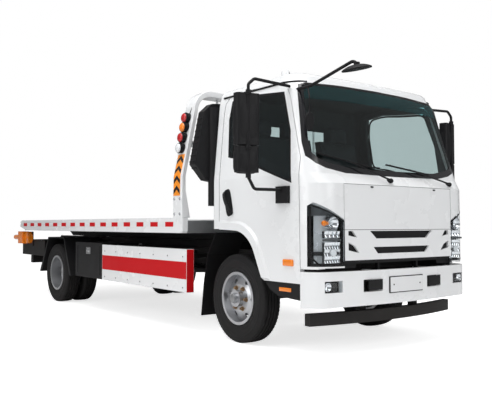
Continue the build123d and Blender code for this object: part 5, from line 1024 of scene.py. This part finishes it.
def build_stage(settings):
    """The camera sees plain white; the truck is lit by a sky that goes from grey, low down, to white."""
    bpy.context.scene.view_settings.view_transform = "Standard"
    reach = settings.floor_reach
    floor = Shape().grid([[[-reach, -reach, 0], [-reach, reach, 0]], [[reach, -reach, 0], [reach, reach, 0]]])
    plane = floor.emit("studio_floor", (), smooth=False)
    plane.data.materials.append(floor_material(settings))
    for polygon in plane.data.polygons:
        if polygon.normal.z < 0:
            polygon.flip()
    world = bpy.data.worlds.new("studio")
    bpy.context.scene.world = world
    nodes = Nodes(world)
    level = nodes.add("SeparateXYZ", "Z", {"Vector": nodes.add("TexCoord", "Generated")})
    shift = nodes.add("Math", "Value", {0: level, 1: 0.5, 2: 0.5}, operation="MULTIPLY_ADD")
    ramp = nodes.add("ValToRGB", inputs={"Fac": shift})
    for stop, (position, colour) in zip(ramp.color_ramp.elements, SKY_STOPS):
        stop.position, stop.color = position, colour
    sky = ramp.outputs["Color"]
    lit = nodes.add("Background", "Background", {"Color": sky, "Strength": settings.sky_light})
    seen = nodes.add("Background", "Background", {"Color": (1, 1, 1, 1), "Strength": 1.0})
    rays = nodes.add("LightPath", "Is Camera Ray")
    blend = nodes.add("MixShader", "Shader", {"Fac": rays, 1: lit, 2: seen})
    nodes.add("OutputWorld", inputs={"Surface": blend})
    for name, place, aim, size, share in SOFT_LIGHTS:
        data = bpy.data.lights.new(name, "AREA")
        data.shape = "SQUARE"
        data.size = size
        data.energy = settings.key_light * share
        placed(name, data, place, Vector(aim) - Vector(place))


def floor_material(settings):
    """Matt pale ground: a diffuse share that takes the shadow, and plain white that the camera alone sees."""
    material = bpy.data.materials.new("studio_ground")
    nodes = Nodes(material)
    matt = nodes.add("BsdfDiffuse", "BSDF", {"Color": (0.86, 0.86, 0.86, 1)})
    rays = nodes.add("LightPath", "Is Camera Ray")
    level = nodes.add("Math", "Value", {0: rays, 1: settings.floor_white}, operation="MULTIPLY")
    white = nodes.add("Emission", "Emission", {"Strength": level})
    total = nodes.add("AddShader", "Shader", {0: matt, 1: white})
    nodes.add("OutputMaterial", inputs={"Surface": total})
    return material


def build_camera(settings):
    """The photo's camera, solved from the truck's straight edges: place, bearing, pitch and lens."""
    data = bpy.data.cameras.new("photo_camera")
    data.sensor_width = 36.0
    data.lens = settings.lens
    yaw, pitch = math.radians(36.95), math.radians(2.22)
    look = Vector((math.sin(yaw) * math.cos(pitch), math.cos(yaw) * math.cos(pitch), math.sin(pitch)))
    bpy.context.scene.camera = placed("photo_camera", data, at(-4.478, -4.848, 1.054), look)


class TruckSettings(PropertyGroup):
    floor_reach: FloatProperty(name="Floor reach", description="Half the floor's width", default=60.0,
                               subtype="DISTANCE")
    sky_light: FloatProperty(name="Sky light", description="Strength of the even light from all round",
                             default=0.40)
    key_light: FloatProperty(name="Key light", description="Power of the soft light overhead", default=620.0)
    floor_white: FloatProperty(name="Floor white", default=0.72,
                               description="Share of plain white in the floor as the camera sees it")
    lens: FloatProperty(name="Lens", description="Focal length of the camera in millimetres", default=47.74)


class TRUCK_OT_stage(Operator):
    """Build the floor, the lights and the camera"""

    bl_idname = "truck.stage"
    bl_label = "Studio"

    def execute(self, context):
        build_stage(context.scene.truck_look)
        build_camera(context.scene.truck_look)
        return {"FINISHED"}


class TRUCK_OT_tyres(Operator):
    """Build the treaded tyres"""

    bl_idname = "truck.tyres"
    bl_label = "Tyres"

    def execute(self, context):
        build_tyres()
        return {"FINISHED"}


class TRUCK_OT_wheel_details(Operator):
    """Add wheel nuts, hub caps and valves"""

    bl_idname = "truck.wheel_details"
    bl_label = "Wheel Details"

    def execute(self, context):
        build_wheel_details()
        return {"FINISHED"}


class TRUCK_OT_windshield_trim(Operator):
    """Add the windshield's dark border and tint band"""

    bl_idname = "truck.windshield_trim"
    bl_label = "Windshield Trim"

    def execute(self, context):
        build_windshield_trim()
        return {"FINISHED"}


class TRUCK_OT_wipers(Operator):
    """Add the two wipers and the washer nozzles"""

    bl_idname = "truck.wipers"
    bl_label = "Wipers"

    def execute(self, context):
        build_wipers()
        return {"FINISHED"}


class TRUCK_OT_headlamps(Operator):
    """Add reflectors, bulbs and rims to the front lamps"""

    bl_idname = "truck.headlamps"
    bl_label = "Lamps"

    def execute(self, context):
        build_headlamps()
        return {"FINISHED"}


class TRUCK_OT_bumper_details(Operator):
    """Add the blank plate and the bumper's dark slots"""

    bl_idname = "truck.bumper_details"
    bl_label = "Bumper Details"

    def execute(self, context):
        build_bumper_details()
        return {"FINISHED"}


class TRUCK_OT_side_details(Operator):
    """Add door handles, marker lamps, reflectors and window seals"""

    bl_idname = "truck.side_details"
    bl_label = "Door Details"

    def execute(self, context):
        build_side_details()
        return {"FINISHED"}


class TRUCK_OT_deck_tapes(Operator):
    """Add the reflective tape along the deck rails"""

    bl_idname = "truck.deck_tapes"
    bl_label = "Deck Tapes"

    def execute(self, context):
        build_deck_tapes()
        return {"FINISHED"}


class TRUCK_OT_side_panels(Operator):
    """Add the red band, rivets and toolbox latches"""

    bl_idname = "truck.side_panels"
    bl_label = "Side Panel Details"

    def execute(self, context):
        build_side_panel_details()
        return {"FINISHED"}


class TRUCK_OT_head_guard(Operator):
    """Add chevrons, lamps, bolts and cables to the head guard"""

    bl_idname = "truck.head_guard"
    bl_label = "Head Guard Details"

    def execute(self, context):
        build_head_guard_details()
        return {"FINISHED"}


class TRUCK_OT_mirrors(Operator):
    """Add mirror shells, glasses and the roof's drip rails"""

    bl_idname = "truck.mirrors"
    bl_label = "Mirrors"

    def execute(self, context):
        build_mirrors()
        return {"FINISHED"}


class TRUCK_OT_rear_lamps(Operator):
    """Add the rear lamps' lenses"""

    bl_idname = "truck.rear_lamps"
    bl_label = "Rear Lamps"

    def execute(self, context):
        build_rear_lamps()
        return {"FINISHED"}


class TRUCK_OT_winch_rope(Operator):
    """Wind the rope on the winch and add its hook"""

    bl_idname = "truck.winch_rope"
    bl_label = "Winch Rope"

    def execute(self, context):
        build_winch_rope()
        return {"FINISHED"}


class TRUCK_OT_seats(Operator):
    """Add padded seat cushions and head rests"""

    bl_idname = "truck.seats"
    bl_label = "Seats"

    def execute(self, context):
        build_seats()
        return {"FINISHED"}


class TRUCK_OT_dashboard(Operator):
    """Add the dashboard's air vents"""

    bl_idname = "truck.dashboard"
    bl_label = "Dashboard"

    def execute(self, context):
        build_vents()
        return {"FINISHED"}


class TRUCK_OT_intake(Operator):
    """Add ribs to the air intake"""

    bl_idname = "truck.intake"
    bl_label = "Intake Ribs"

    def execute(self, context):
        build_intake_ribs()
        return {"FINISHED"}


OPERATORS = (
    TRUCK_OT_stage, TRUCK_OT_tyres, TRUCK_OT_wheel_details, TRUCK_OT_windshield_trim, TRUCK_OT_wipers,
    TRUCK_OT_headlamps, TRUCK_OT_bumper_details, TRUCK_OT_side_details, TRUCK_OT_deck_tapes,
    TRUCK_OT_side_panels, TRUCK_OT_head_guard, TRUCK_OT_mirrors, TRUCK_OT_rear_lamps, TRUCK_OT_winch_rope,
    TRUCK_OT_seats, TRUCK_OT_dashboard, TRUCK_OT_intake,
)


class TRUCK_PT_panel(Panel):
    """The buttons that build the truck's look"""

    bl_idname = "TRUCK_PT_panel"
    bl_label = "Tow Truck"
    bl_space_type = "VIEW_3D"
    bl_region_type = "UI"
    bl_category = "Tow Truck"

    def draw(self, context):
        for operator in OPERATORS:
            self.layout.operator(operator.bl_idname)
        for name in TruckSettings.__annotations__:
            self.layout.prop(context.scene.truck_look, name)


CLASSES = (TruckSettings, *OPERATORS, TRUCK_PT_panel)


def register():
    for item in CLASSES:
        bpy.utils.register_class(item)
    bpy.types.Scene.truck_look = PointerProperty(type=TruckSettings)


def unregister():
    del bpy.types.Scene.truck_look
    for item in reversed(CLASSES):
        bpy.utils.unregister_class(item)


def main():
    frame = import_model()
    register()
    paint_nodes(frame)
    line_cab(frame)
    line_deck(frame)
    for operator in OPERATORS:
        group, name = operator.bl_idname.split(".")
        getattr(getattr(bpy.ops, group), name)()


if __name__ == "__main__":
    main()
